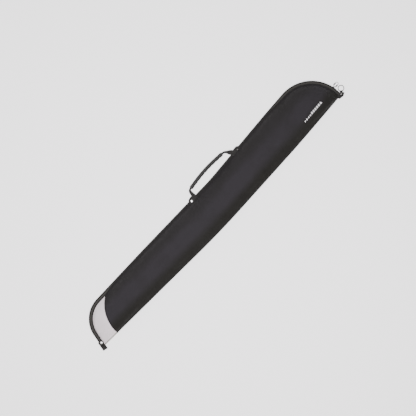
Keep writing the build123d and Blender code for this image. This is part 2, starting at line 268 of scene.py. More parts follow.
def fold_partner(zipped_x, positions):
    """X on the folded edge that each station of the zipped edge is joined to."""
    first, last = FOLDED[0, 0], FOLDED[-1, 0]
    x_tail = np.interp(TAIL_BEND, positions, zipped_x)
    x_tip = np.interp(TIP_BEND, positions, zipped_x)
    tail = first + (x_tail - first) * positions / TAIL_BEND
    left = ZIPPED_LENGTH - positions
    tip = last + (x_tip - last) * left / (ZIPPED_LENGTH - TIP_BEND)
    return np.where(positions < TAIL_BEND, tail, np.where(positions > TIP_BEND, tip, zipped_x))


def rays_across(rim_inset=0.0):
    """Lines from the folded edge to the zipped edge at the stations: start, direction, length,
    and how squarely each meets the zipped edge."""
    rim, _, inward = edge_at(STATION_AT)
    rim = rim + inward * rim_inset
    base_x = fold_partner(rim[:, 0], STATION_AT)
    base = np.stack((base_x, np.interp(base_x, FOLDED[:, 0], FOLDED[:, 1])), 1)
    ray = unit(rim - base)
    lean = np.clip(-(ray * inward).sum(1), LEAST_LEAN, 1)
    return base, ray, np.linalg.norm(rim - base, axis=1), lean


def edge_distance(plan):
    """Distance in plan from the zipped edge, for an array of points."""
    flat = plan.reshape(-1, 2).astype(np.float32)
    out = np.empty(len(flat), np.float32)
    for k in range(0, len(flat), 2000):
        part = flat[k:k + 2000]
        gap = np.hypot(part[:, :1] - ZIPPED_DENSE[:, 0], part[:, 1:] - ZIPPED_DENSE[:, 1])
        out[k:k + 2000] = gap.min(1)
    return out.reshape(plan.shape[:-1]).astype(float)


def hem_width(positions):
    """The flat hem is wide round the two ends and narrow along the zipped edge."""
    tail = smooth((positions - HEM_NARROWS[0]) / HEM_NARROWS[1])
    tip = smooth((HEM_WIDENS[0] - positions) / HEM_WIDENS[1])
    return HEM_SIDE + (HEM_TAIL - HEM_SIDE) * (1 - tail) + (HEM_END - HEM_SIDE) * (1 - tip)


def dome_height(distance, start):
    """Height of the front at a distance in from the edge."""
    t = np.clip((distance - start) / (DOME_REACH - start), 0, 1)
    return HEM_TOP + (CREST - HEM_TOP) * (1 - (1 - t) ** DOME_POWER)


def front_surface():
    """The front and the fold as a grid of points: stations along, rows from under the fold
    to the rim."""
    base, ray, length, lean = rays_across(RIM_INSET)
    start = hem_width(STATION_AT)
    hem_at = length - np.minimum((start - RIM_INSET) / lean, 0.35 * length)
    nose = np.minimum(NOSE_TOP, 0.3 * length)
    under = np.minimum(NOSE_UNDER, 0.2 * length)
    grid = []

    def height_at(t):
        return dome_height(edge_distance(base + ray * t[:, None]), start)

    def add_row(t, height):
        grid.append(three(base + ray * t[:, None], height))

    middle = NOSE_SHARE * height_at(nose)
    for k in range(UNDER_ROWS):
        a = math.pi / 2 * (1 - k / UNDER_ROWS)
        add_row(under * (1 - math.cos(a)), FLOOR_GAP + (middle - FLOOR_GAP) * (1 - math.sin(a)))
    for k in range(NOSE_ROWS):
        a = math.pi / 2 * k / NOSE_ROWS
        t = nose * (1 - math.cos(a))
        add_row(t, middle + (height_at(t) - middle) * math.sin(a))
    main = [nose + (hem_at - nose) * k / MAIN_ROWS for k in range(MAIN_ROWS + 1)]
    hem = [hem_at + (length - hem_at) * k / HEM_ROWS for k in range(1, HEM_ROWS + 1)]
    for t in main + hem:
        add_row(t, height_at(t))
    return np.stack(grid, 1)


def grid_normals(points):
    """Unit normals of a grid of points, pointing out of the bag."""
    return unit(np.cross(np.gradient(points, axis=0), np.gradient(points, axis=1)))


def blur(values, rounds):
    """Smooths a grid of values a little, keeping its border."""
    for _ in range(rounds):
        inner = (values[:-2, 1:-1] + values[2:, 1:-1] + values[1:-1, :-2] + values[1:-1, 2:]) / 4
        values = values.copy()
        values[1:-1, 1:-1] = (values[1:-1, 1:-1] + inner) / 2
    return values


# ---- mesh helpers ----
def put(name, data):
    """A new object in the scene."""
    obj = bpy.data.objects.new(name, data)
    bpy.context.scene.collection.objects.link(obj)
    return obj


def make_object(name, verts, faces, material):
    mesh = bpy.data.meshes.new(name)
    mesh.from_pydata([tuple(v) for v in verts], [], [tuple(f) for f in faces])
    mesh.update()
    mesh.polygons.foreach_set("use_smooth", [True] * len(mesh.polygons))
    mesh.materials.append(material)
    return put(name, mesh)


def grid_faces(nu, nv, offset=0, flip=False):
    i, j = np.meshgrid(np.arange(nu - 1), np.arange(nv - 1), indexing="ij")
    a = (i * nv + j + offset).ravel()
    quads = np.stack((a, a + nv, a + nv + 1, a + 1), 1)
    return quads[:, ::-1] if flip else quads


def closed_faces(nu, nv, offset=0):
    """Faces of a closed solid between two grids of one size, stored one after the other."""
    count = nu * nv
    border = [i * nv for i in range(nu)] + [(nu - 1) * nv + j for j in range(1, nv)]
    border += [i * nv + nv - 1 for i in range(nu - 2, -1, -1)] + list(range(nv - 2, 0, -1))
    faces = [*grid_faces(nu, nv, offset), *grid_faces(nu, nv, offset + count, flip=True)]
    for a, b in zip(border, border[1:] + border[:1]):
        faces.append((offset + b, offset + a, offset + a + count, offset + b + count))
    return faces


def closed_sheet(name, outer, inner, material):
    verts = np.concatenate((outer.reshape(-1, 3), inner.reshape(-1, 3)))
    return make_object(name, verts, closed_faces(*outer.shape[:2]), material)


def tube_faces(nu, nv, offset=0, ring=False):
    """Faces of a tube through nu sections of nv points, with a cap at each end unless a ring."""
    faces = []
    for i in range(nu if ring else nu - 1):
        low, high = offset + i * nv, offset + (i + 1) % nu * nv
        for j in range(nv):
            k = (j + 1) % nv
            faces.append((low + j, low + k, high + k, high + j))
    if not ring:
        faces.append(tuple(range(offset + nv - 1, offset - 1, -1)))
        faces.append(tuple(range(offset + (nu - 1) * nv, offset + nu * nv)))
    return faces


def swept(name, sections, material, ring=False):
    """A tube through closed sections, an array of [stations, points, 3]."""
    faces = tube_faces(*sections.shape[:2], ring=ring)
    return tidy_normals(make_object(name, sections.reshape(-1, 3), faces, material))


def tidy_normals(obj):
    bm = bmesh.new()
    bm.from_mesh(obj.data)
    bmesh.ops.recalc_face_normals(bm, faces=bm.faces)
    bm.to_mesh(obj.data)
    bm.free()
    return obj


def sharpen(obj, angle=55):
    obj.data.set_sharp_from_angle(angle=math.radians(angle))
    return obj


def bend_front(obj):
    """Bakes a piece's place into its mesh, leaving it unparented."""
    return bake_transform(obj)


# ---- materials ----
class Shade:
    """A material under construction: its nodes, and the links between them."""

    def __init__(self, name, colour, rough, **values):
        self.material = bpy.data.materials.new(name)
        self.material.use_nodes = True
        self.tree = self.material.node_tree
        self.shader = self.tree.nodes["Principled BSDF"]
        self.colour = (*colour, 1)
        self.shader.inputs["Base Color"].default_value = self.colour
        self.shader.inputs["Roughness"].default_value = rough
        for key, value in values.items():
            self.shader.inputs[key.replace("_", " ")].default_value = value
        self.normal = None

    def node(self, kind, inputs=(), **settings):
        made = self.tree.nodes.new(kind)
        for key, value in settings.items():
            setattr(made, key, value)
        for key, value in dict(inputs).items():
            self.feed(made.inputs[key], value)
        return made

    def feed(self, socket, value):
        if isinstance(value, bpy.types.NodeSocket):
            self.tree.links.new(value, socket)
        else:
            socket.default_value = value

    def math(self, operation, a, b=0.0):
        return self.node("ShaderNodeMath", {0: a, 1: b}, operation=operation).outputs[0]

    def place(self, uv=False):
        return self.node("ShaderNodeTexCoord").outputs["UV" if uv else "Object"]

    def noise(self, scale, detail=2.0, rough=0.5):
        inputs = {"Vector": self.place(), "Scale": scale, "Detail": detail, "Roughness": rough}
        return self.node("ShaderNodeTexNoise", inputs).outputs["Fac"]

    def bands(self, pitch, axis, uv=False):
        """Ridges at a pitch in metres, square to an axis."""
        inputs = {"Vector": self.place(uv), "Scale": 2 * math.pi / 20 / pitch}
        made = self.node("ShaderNodeTexWave", inputs, wave_type="BANDS", bands_direction=axis)
        return made.outputs["Fac"]

    def cells(self, scale, feature="F1"):
        """Distance to the nearest of random points, or to the edge between two."""
        inputs = {"Vector": self.place(), "Scale": scale}
        made = self.node("ShaderNodeTexVoronoi", inputs, feature=feature)
        return made.outputs["Distance"]

    def attribute(self, name):
        return self.node("ShaderNodeAttribute", attribute_name=name).outputs["Fac"]

    def bump(self, height, depth, strength):
        inputs = {"Height": height, "Distance": depth, "Strength": strength}
        if self.normal:
            inputs["Normal"] = self.normal
        self.normal = self.node("ShaderNodeBump", inputs).outputs["Normal"]
        self.feed(self.shader.inputs["Normal"], self.normal)

    def fade_to(self, other, attribute, cloudy=True):
        """Turns the colour made so far into another colour where a point's attribute is low."""
        share = self.attribute(attribute)
        if cloudy:
            clouds = self.math("ADD", 0.45, self.math("MULTIPLY", self.noise(13.0, 3.0, 0.5), 1.1))
            share = self.math("MULTIPLY", share, clouds)
        mixed = self.node("ShaderNodeMix", {"Factor": share}, data_type="RGBA")
        mixed.inputs["A"].default_value = (*other, 1)
        self.feed(mixed.inputs["B"], self.shader.inputs["Base Color"].links[0].from_socket)
        self.feed(self.shader.inputs["Base Color"], mixed.outputs["Result"])

    def tint(self, factor, low, high):
        """Colour between two shades of the base colour."""
        made = self.node("ShaderNodeMix", {"Factor": factor}, data_type="RGBA")
        for key, share in (("A", low), ("B", high)):
            made.inputs[key].default_value = (*(min(1, c * share) for c in self.colour[:3]), 1)
        self.feed(self.shader.inputs["Base Color"], made.outputs["Result"])

    def rough(self, factor, low, high):
        made = self.node("ShaderNodeMapRange", {"Value": factor, "To Min": low, "To Max": high})
        self.feed(self.shader.inputs["Roughness"], made.outputs["Result"])


def cloth_material(name, colour, pitch, depth, dark=None, **values):
    """Woven cloth: thread relief, thread tone, and slow uneven patches; with dark given, painted shade
    where the crown attribute is low.
    """
    s = Shade(name, colour, 0.8, **values)
    threads = s.math("ABSOLUTE", s.math("SUBTRACT", s.bands(pitch, "X"), s.bands(pitch, "Y")))
    patches = s.noise(9.0, 4.0, 0.55)
    tone = s.math("ADD", s.math("MULTIPLY", threads, 0.5), s.math("MULTIPLY", patches, 0.6))
    s.tint(tone, 0.62, 1.35)
    # painted shade: fades the cloth to the dark colour away from the crest, towards the fold and hem
    if dark:
        s.fade_to(dark, "crown")
    s.rough(patches, 0.66, 0.9)
    s.bump(threads, depth, 0.7)
    s.bump(s.noise(160.0, 3.0), 0.25 * MM, 0.35)
    return s.material


def webbing_material(name, colour, pitch=1.6 * MM):
    """Ribbed webbing: ribs across, finer threads along."""
    s = Shade(name, colour, 0.7, Specular_IOR_Level=0.25, Sheen_Weight=0.06, Sheen_Roughness=0.5)
    ribs = s.bands(pitch, "X", True)
    threads = s.bands(pitch * 0.45, "Y", True)
    tone = s.math("ADD", s.math("MULTIPLY", ribs, 0.5), s.math("MULTIPLY", s.noise(60.0), 0.5))
    s.tint(tone, 0.6, 1.5)
    s.rough(s.noise(40.0), 0.55, 0.85)
    s.bump(ribs, 0.35 * MM, 0.8)
    s.bump(threads, 0.12 * MM, 0.6)
    return s.material


def edge_tape_material():
    """Edge tape: painted shade darkens its two rolled borders and a painted highlight lightens the
    ribbed band between them.
    """
    colour = (0.050, 0.049, 0.043)
    s = Shade("edge_tape_weave", colour, 0.7, Specular_IOR_Level=0.22, Sheen_Weight=0.05)
    from_middle = s.math("ABSOLUTE", s.math("SUBTRACT", s.attribute("across"), 0.5))
    band = s.math("SUBTRACT", 1.0, from_middle)
    light = s.node("ShaderNodeMapRange", {
        "Value": band, "From Min": 0.80, "From Max": 0.92, "To Min": 0.0, "To Max": 1.0,
    }, interpolation_type="SMOOTHSTEP").outputs["Result"]
    worn = s.math("MULTIPLY", s.noise(45.0, 3.0), 0.5)
    # painted highlight along the middle of the band, painted shade on the rolled borders
    s.tint(s.math("ADD", s.math("MULTIPLY", light, 0.8), s.math("MULTIPLY", worn, 0.4)), 0.22, 0.95)
    s.rough(worn, 0.6, 0.85)
    s.bump(s.bands(1.3 * MM, "X", True), 0.3 * MM, 0.8)
    s.bump(s.bands(0.7 * MM, "Y", True), 0.1 * MM, 0.5)
    return s.material


def vinyl_material():
    """Coated light grey guard: leather-like grain, scuffed and a little grubby in patches, with painted
    shade along the fold.
    """
    s = Shade("guard_vinyl", (0.87, 0.80, 0.81), 0.5, Coat_Weight=0.08, Coat_Roughness=0.4)
    grain = s.cells(620.0, "DISTANCE_TO_EDGE")
    patches = s.noise(14.0, 5.0, 0.6)
    s.tint(patches, 0.88, 1.08)
    # painted shade: the vinyl turns dark along the fold, where it curls under towards the floor
    s.fade_to((0.26, 0.24, 0.20), "painted_fold_shade", cloudy=False)
    s.rough(s.noise(60.0, 4.0), 0.38, 0.6)
    s.bump(grain, 0.12 * MM, 0.6)
    s.bump(patches, 0.8 * MM, 0.3)
    return s.material


def plastic_material(name, colour, low, high, grain=260.0, depth=0.05 * MM, **values):
    """Moulded plastic or rubber with a fine satin texture."""
    s = Shade(name, colour, (low + high) / 2, **values)
    patches = s.noise(70.0, 3.0)
    s.tint(patches, 0.8, 1.2)
    s.rough(patches, low, high)
    s.bump(s.noise(grain, 2.0), depth, 0.6)
    return s.material


def metal_material(name, colour, low, high):
    """Plated metal: fine scratches and cloudy patches."""
    s = Shade(name, colour, (low + high) / 2, Metallic=1.0)
    patches = s.noise(220.0, 4.0)
    s.tint(patches, 0.85, 1.1)
    s.rough(patches, low, high)
    s.bump(s.noise(900.0, 2.0), 0.02 * MM, 0.4)
    return s.material


def foam_material():
    """Dark open-cell foam, seen only when the bag is open."""
    s = Shade("open_cell_foam", (0.16, 0.16, 0.165), 0.95)
    cells = s.cells(900.0)
    s.tint(cells, 0.55, 1.25)
    s.rough(cells, 0.85, 1.0)
    s.bump(cells, 0.4 * MM, 0.8)
    return s.material


# its dark colour is painted shade, shown where the crown attribute is low: along the front's fold and
# hem
NYLON = cloth_material(
    "packcloth", (0.0235, 0.0215, 0.0245), 1.5 * MM, 0.34 * MM, dark=(0.0116, 0.0112, 0.0090),
    Specular_IOR_Level=0.24, Sheen_Weight=0.04, Sheen_Roughness=0.5,
)
LINING_CLOTH = cloth_material("lining_taffeta", (0.09, 0.09, 0.095), 0.7 * MM, 0.08 * MM)
WEBBING = webbing_material("handle_webbing", (0.020, 0.0195, 0.018))
TAPE_CLOTH = webbing_material("zipper_tape_weave", (0.030, 0.029, 0.029), 1.0 * MM)
EDGE_TAPE = edge_tape_material()
VINYL = vinyl_material()
BINDING = webbing_material("guard_binding_cloth", (0.022, 0.021, 0.020), 0.9 * MM)
THREAD = plastic_material("sewing_thread", (0.055, 0.053, 0.052), 0.5, 0.75, 2500.0)
GREY_THREAD = plastic_material("light_thread", (0.42, 0.40, 0.39), 0.5, 0.75, 2500.0)
COIL = plastic_material("coil_nylon", (0.030, 0.030, 0.031), 0.3, 0.5, 1200.0)
RUBBER = plastic_material("grip_rubber", (0.024, 0.024, 0.022), 0.42, 0.6, Specular_IOR_Level=0.3)
STEEL = metal_material("nickel_plate", (0.93, 0.92, 0.90), 0.26, 0.42)
WIRE_STEEL = metal_material("steel_wire", (0.085, 0.082, 0.074), 0.2, 0.34)
# a far darker nickel than the left cap's, given to the right rivet's cap only
DARK_NICKEL = metal_material("dark_nickel", (0.055, 0.054, 0.050), 0.34, 0.5)
DARK_METAL = metal_material("burnished_alloy", (0.085, 0.085, 0.088), 0.3, 0.46)
PRINT = plastic_material("white_ink", (0.96, 0.96, 0.955), 0.5, 0.7, 1800.0, 0.03 * MM)
FOAM = foam_material()


def settle(obj, body=None, replaces=()):
    """Last step of a piece: nothing sinks into the floor, its place is baked into its mesh or it rides
    on a body, and the CAD parts it replaces are hidden."""
    for v in obj.data.vertices:
        if v.co.z < FLOOR_SKIN:
            v.co.z = FLOOR_SKIN
    if body is None:
        bend_front(obj)
    else:
        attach(obj, body)
    if replaces:
        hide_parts(*replaces)
    return obj


# ---- tubes, strips and stitches ----
def rounded_ends(t, reach, least):
    """Thickness along a piece whose ends are rounded; t is the share of its length."""
    return np.sqrt(np.clip(np.minimum(t, 1 - t) / reach, least, 1))


def frames_along(points, up):
    """Unit directions along, across and above a line; up is a vector or one for each point."""
    along = unit(np.gradient(points, axis=0))
    across = unit(np.cross(np.broadcast_to(np.asarray(up, float), points.shape), along))
    return along, across, np.cross(along, across)


def tube(name, points, radius, sides, material, up=UP, ring=False, flat=1.0):
    """A round or flattened tube; radius may differ at each point. A ring's last point is its first."""
    points = np.asarray(points, float)
    line = np.concatenate((points[-2:-1], points, points[1:2])) if ring else points
    _, across, above = frames_along(line, up)
    if ring:
        across, above = across[1:-1], above[1:-1]
    radius = np.broadcast_to(np.asarray(radius, float), (len(points),))
    angles = steps_round(sides)[:, None]
    offset = across[:, None] * np.cos(angles) + above[:, None] * np.sin(angles) * flat
    sections = points[:, None] + offset * radius[:, None, None]
    return swept(name, sections[:-1] if ring else sections, material, ring=ring)


def add_uv(obj, values):
    """A UV map from one (u, v) pair, in metres, for each vertex."""
    layer = obj.data.uv_layers.new(name="along_across")
    index = np.zeros(len(obj.data.loops), np.int32)
    obj.data.loops.foreach_get("vertex_index", index)
    layer.data.foreach_set("uv", np.asarray(values, np.float32)[index].ravel())


def add_attribute(obj, name, values):
    made = obj.data.attributes.new(name, "FLOAT", "POINT")
    made.data.foreach_set("value", np.asarray(values, np.float32))


def edge_strip(name, start, end, section, material, step=4 * MM):
    """A strip along the zipped edge; section(s) gives its closed outline as insets, heights and
    shares across. Its stations are closer near both ends."""
    near = 60 * MM
    count = max(2, int((end - start - 2 * near) / step))
    s = np.concatenate((
        np.linspace(start, start + near, 34, endpoint=False),
        np.linspace(start + near, end - near, count, endpoint=False),
        np.linspace(end - near, end, 35),
    ))
    points, _, inward = edge_at(s)
    inset, height, share = np.array([section(k) for k in s]).transpose(1, 0, 2)
    plan = points[:, None] + inward[:, None] * inset[:, :, None]
    obj = swept(name, three(plan, height), material)
    add_attribute(obj, "across", share.ravel())
    along = np.broadcast_to(s[:, None], inset.shape)
    add_uv(obj, np.stack((along.ravel(), inset.ravel()), 1))
    return obj


def flat_section(inner, outer, low, high, bevel=0.3 * MM):
    """Outline of a flat strip with softened corners."""
    in_bevel, out_bevel = inner - bevel, outer + bevel
    insets = (out_bevel, in_bevel, inner, inner, in_bevel, out_bevel, outer, outer)
    heights = (high, high, high - bevel, low + bevel, low, low, low + bevel, high - bevel)
    return insets, heights, [(k - outer) / (inner - outer) for k in insets]


# place along the stitch and thickness there, as shares of its length and thickness
STITCH_SHARES = np.array((-0.5, -0.32, 0.0, 0.32, 0.5))[:, None]
STITCH_SWELL = np.array((0.25, 0.85, 1.0, 0.85, 0.25))[:, None]
STITCH_SIDES = 6


def stitch_run(name, points, material, size, normals=UP):
    """A row of separate stitches on a surface, as one mesh; size is pitch, length and thickness."""
    pitch, length, thick = size
    points = np.asarray(points, float)
    normals = np.broadcast_to(np.asarray(normals, float), points.shape)
    lengths = running_length(points)
    middles = np.arange(pitch, lengths[-1] - pitch / 2, pitch)

    def at(values, s):
        return np.stack([np.interp(s, lengths, values[:, k]) for k in range(3)], -1)[:, None]

    a, b = at(points, middles - length / 2), at(points, middles + length / 2)
    along = unit(b - a)
    across = unit(np.cross(at(normals, middles), along))
    up = np.cross(along, across)
    centres = (a + b) / 2 + along * STITCH_SHARES * length + up * thick * (0.35 * STITCH_SWELL - 0.1)
    angles = steps_round(STITCH_SIDES)[:, None]
    rings = across[:, None] * np.cos(angles) + 0.7 * up[:, None] * np.sin(angles)
    verts = centres[:, :, None] + rings * thick * STITCH_SWELL[:, None]
    stations = len(STITCH_SHARES)
    faces = []
    for k in range(len(middles)):
        faces += tube_faces(stations, STITCH_SIDES, k * stations * STITCH_SIDES)
    return make_object(name, verts.reshape(-1, 3), faces, material)


def sew(name, points, body, *size):
    """A row of dark stitches that moves with a body; size is pitch, length and thickness in mm."""
    settle(stitch_run(name, points, THREAD, [k * MM for k in size]), body)


# ---- the front: one cloth from the rim over the crest and round the fold ----
def wrinkle_height(x, y):
    """Soft folds that run in from the handle's foot and a few slack creases towards the tail."""
    total = 0.0
    for cx, cy, angle, reach, pitch, depth in CREASES:
        a = math.radians(angle)
        u = (x - cx) * math.cos(a) + (y - cy) * math.sin(a)
        v = -(x - cx) * math.sin(a) + (y - cy) * math.cos(a)
        fade = np.exp(-((u / reach) ** 2) - (v / (1.6 * pitch)) ** 2)
        total = total + depth * fade * np.cos(2 * math.pi * v / (2.4 * pitch))
    return total


# place, direction in degrees, half length, half spacing and depth of each crease, metres
CREASES = (
    (-0.030, 0.050, 82.0, 0.045, 0.010, 0.0036),
    (0.012, 0.052, 128.0, 0.055, 0.010, 0.0034),
    (0.040, 0.060, 148.0, 0.055, 0.009, 0.0026),
    (-0.065, 0.050, 48.0, 0.040, 0.010, 0.0026),
    (0.150, 0.070, 12.0, 0.070, 0.008, 0.0009),
    (0.235, 0.078, 20.0, 0.060, 0.009, 0.0012),
    (0.300, 0.060, 110.0, 0.050, 0.012, 0.0014),
    (-0.240, 0.030, 38.0, 0.080, 0.013, 0.0010),
    (-0.310, 0.015, 46.0, 0.085, 0.014, 0.0011),
    (-0.370, 0.040, 60.0, 0.055, 0.012, 0.0006),
    (-0.455, 0.010, 55.0, 0.075, 0.014, 0.0008),
    (-0.520, 0.045, 30.0, 0.060, 0.011, 0.0006),
    (0.420, 0.020, 130.0, 0.090, 0.016, 0.0015),
    (0.560, 0.030, 35.0, 0.090, 0.018, 0.0013),
    (0.760, 0.030, 120.0, 0.060, 0.013, 0.0015),
    (0.690, 0.075, 15.0, 0.090, 0.012, 0.0012),
    (0.120, -0.020, 150.0, 0.090, 0.016, 0.0014),
)


def soft_unevenness(points):
    """Slow random swells of a stuffed surface, the same on each run."""
    flat = points.reshape(-1, 3)
    out = np.empty(len(flat))
    for k, p in enumerate(flat):
        q = Vector((p[0] * 9.0, p[1] * 16.0, 4.0))
        out[k] = noise.noise(q) + 0.45 * noise.noise(q * 2.7)
    return out.reshape(points.shape[:2])


SLACK_CLOTH = {
    "quality": 6, "mass": 0.25, "tension_stiffness": 22, "compression_stiffness": 9,
    "shear_stiffness": 9, "bending_stiffness": 0.6, "use_pressure": True,
    "uniform_pressure_force": 1.6, "shrink_min": -0.022,
}
SLACK_FRAMES = 21
SLACK_CAP = 5 * MM
SHIFT_LIMITS = (-6 * MM, 5 * MM)
END_FREE = 90 * MM
HELD_STATIONS = 6                 # at each end of the simulated cloth


def simulated_slack(points, normals):
    """Cloth simulation of the front, coarse: how far each point moves along its normal."""
    iu, iv = (np.unique(np.append(np.arange(0, n, 2), n - 1)) for n in points.shape[:2])
    coarse = points[np.ix_(iu, iv)]
    nu, nv = coarse.shape[:2]
    obj = make_object("slack_cloth", coarse.reshape(-1, 3), grid_faces(nu, nv), NYLON)
    held = obj.vertex_groups.new(name="held")
    rim_rows = int(np.searchsorted(iv, points.shape[1] - HEM_ROWS - 2))
    fixed = [
        i * nv + j for i in range(nu) for j in range(nv)
        if j >= rim_rows or j <= UNDER_ROWS // 2 or not HELD_STATIONS <= i < nu - HELD_STATIONS
    ]
    held.add(fixed, 1.0, "REPLACE")
    cloth = obj.modifiers.new("cloth", "CLOTH").settings
    cloth.vertex_group_mass = "held"
    cloth.effector_weights.gravity = 0.0
    for key, value in SLACK_CLOTH.items():
        setattr(cloth, key, value)
    scene = bpy.context.scene
    for number in range(1, SLACK_FRAMES + 1):
        scene.frame_set(number)
    evaluated = obj.evaluated_get(bpy.context.evaluated_depsgraph_get())
    moved = np.zeros(nu * nv * 3)
    evaluated.data.vertices.foreach_get("co", moved)
    scene.frame_set(1)
    bpy.data.objects.remove(obj)
    shift = ((moved.reshape(nu, nv, 3) - coarse) * normals[np.ix_(iu, iv)]).sum(2)
    shift = blur(np.clip(shift, -SLACK_CAP, SLACK_CAP), 1)
    rows = np.stack([np.interp(np.arange(points.shape[1]), iv, r) for r in shift])
    return np.stack([np.interp(np.arange(points.shape[0]), iu, c) for c in rows.T], 1)


def front_cloth():
    """The outer face of the front with its slack, creases and flat hem."""
    points = front_surface()
    normals = grid_normals(points)
    row = np.arange(points.shape[1])
    hem_row = len(row) - 1 - HEM_ROWS
    free = smooth((row - UNDER_ROWS) / 8) * smooth((hem_row - row) / 5)
    ends = smooth(STATION_AT / END_FREE) * smooth((ZIPPED_LENGTH - STATION_AT) / END_FREE)
    mask = free[None, :] * ends[:, None]
    creases = wrinkle_height(points[:, :, 0], points[:, :, 1])
    swell = soft_unevenness(points) * 1.5 * MM
    shift = (creases + swell) * mask
    slack = simulated_slack(points, normals)
    shift = shift + slack * np.clip(mask * 1.5, 0, 1)
    return points + normals * np.clip(shift, *SHIFT_LIMITS)[:, :, None]


FRONT = front_cloth()
FRONT_NORMALS = grid_normals(FRONT)
HEM_ROW = FRONT.shape[1] - 1 - HEM_ROWS
FRONT_TREE = BVHTree.FromPolygons(
    [tuple(p) for p in FRONT.reshape(-1, 3)], [tuple(f) for f in grid_faces(*FRONT.shape[:2])]
)


def drop(x, y):
    """Point and unit normal of the front straight below a plan point."""
    hit, normal, _, _ = FRONT_TREE.ray_cast(Vector((x, y, 1.0)), Vector((0, 0, -1)))
    if hit is None:
        return np.array((x, y, HEM_TOP)), np.array((0, 0, 1.0))
    normal = np.array(normal)
    return np.array(hit), normal * math.copysign(1, normal[2])


COVER = 1.6 * MM                  # nylon and its backing
FOAM_DEPTH = 4.5 * MM
SKIN_GAP = 0.15 * MM
LINING_THICK = 0.6 * MM
PAINTED_LIGHT_RISE = (32 * MM, 84 * MM)   # from the fold: where the paler crown's painted light begins and is full
PAINTED_LIGHT_FALL = (112 * MM, 165 * MM)
PAINTED_SHADE_SPAN = (3.5 * MM, 8.5 * MM)  # from the fold: where the guard's painted shade along its fold edge fades out


def from_fold(obj):
    """Distance of each vertex from the folded edge, along Y."""
    x, y, _ = np.array([v.co for v in obj.data.vertices]).T
    return y - np.interp(x, FOLDED[:, 0], FOLDED[:, 1])


def painted_light_share(away):
    """How much of the crown's paler, painted light shows against the painted shade of the fold: 0 along
    the fold, 1 along the crest.
    """
    return share_between(away, PAINTED_LIGHT_RISE) * (1 - 0.55 * share_between(away, PAINTED_LIGHT_FALL))


def layer(name, outer, inner, material, body, replaces, fill=None):
    """One layer of the bag; fill is not used."""
    obj = sharpen(closed_sheet(name, outer, inner, material))
    settle(obj, body, replaces)
    return obj


def front_layers():
    cover = layer(
        "front_cover", FRONT, FRONT - FRONT_NORMALS * COVER, NYLON, None,
        ("front_panel", "fold_panel", "front_hem", "fold_hem"), 0.45,
    )
    # painted light on the crest and painted shade towards the fold and hem
    add_attribute(cover, "crown", painted_light_share(from_fold(cover)))
    last = HEM_ROW - 2
    inner = slice(12, STATIONS - 12)
    points, normals = FRONT[inner, 1:last], FRONT_NORMALS[inner, 1:last]
    layer(
        "front_foam", points - normals * (COVER + SKIN_GAP), points - normals * FOAM_DEPTH, FOAM,
        None, ("front_padding", "fold_padding"), 0.5,
    )
    points, normals = FRONT[inner, 1:last + 2], FRONT_NORMALS[inner, 1:last + 2]
    ramp = smooth((last - np.arange(1, last + 2)) / 3)
    depth = COVER + SKIN_GAP + (FOAM_DEPTH - COVER) * ramp
    outer = points - normals * depth[None, :, None]
    lining = layer(
        "front_lining_cloth", outer, outer - normals * LINING_THICK, LINING_CLOTH,
        None, ("front_lining", "fold_lining"),
    )


# ---- the back: flat where it lies, rising to the hem ----
BACK_ROWS = 26


def back_grid(edge_inset, fold_inset):
    """Plan grid of the back, from its fold side to its rim."""
    base, ray, length, lean = rays_across()
    first = np.minimum(fold_inset, 0.2 * length)
    last = length - np.minimum(edge_inset / lean, 0.35 * length)
    share = np.linspace(0, 1, BACK_ROWS)
    share = share + 0.12 * np.sin(2 * math.pi * share) / (2 * math.pi)
    t = first[:, None] + (last - first)[:, None] * share[None, :]
    return base[:, None] + ray[:, None] * t[:, :, None]


def back_height(plan):
    """Height of the back's outer face: it lifts off the floor near the hem and in slack ripples."""
    distance = edge_distance(plan)
    lift = 0.9 * MM * (1 - smooth((distance - RIM_INSET) / (22 * MM)))
    x, y = plan[:, :, 0], plan[:, :, 1]
    folds = np.sin(x * 23.0 + 2.2 * np.sin(y * 31.0)) * np.cos(y * 27.0 + x * 5.0)
    ripple = 0.28 * MM * (1 + folds)
    return FLOOR_SKIN + lift + ripple * smooth((distance - 10 * MM) / (25 * MM))


def back_outside():
    """Outer face of the back, a grid of points."""
    plan = back_grid(RIM_INSET, NOSE_UNDER - MM)
    return three(plan, back_height(plan))


BACK_INSIDE = 1.95 * MM           # height of the back cover's inner face
BACK_FOAM = (2.0 * MM, 4.45 * MM)
BACK_LINING = (4.95 * MM, 0.45 * MM)


def back_layers():
    outer = back_outside()
    inner = three(outer[:, :, :2], BACK_INSIDE)
    layer("back_cover", inner, outer, NYLON, "root", ("back_panel",), 0.3)
    plan = back_grid(19 * MM, 18 * MM)[16:STATIONS - 16]
    low, high = (three(plan, z) for z in BACK_FOAM)
    layer("back_foam", high, low, FOAM, "root", ("back_padding",), 0.5)
    x, y = plan[:, :, 0], plan[:, :, 1]
    top, thick = BACK_LINING
    sheet = three(plan, top + 0.15 * MM * np.sin(x * 40.0 + 3 * np.sin(y * 26.0)))
    under = sheet - np.array(UP) * thick
    lining = layer("back_lining_cloth", sheet, under, LINING_CLOTH, "root", ("back_lining",))


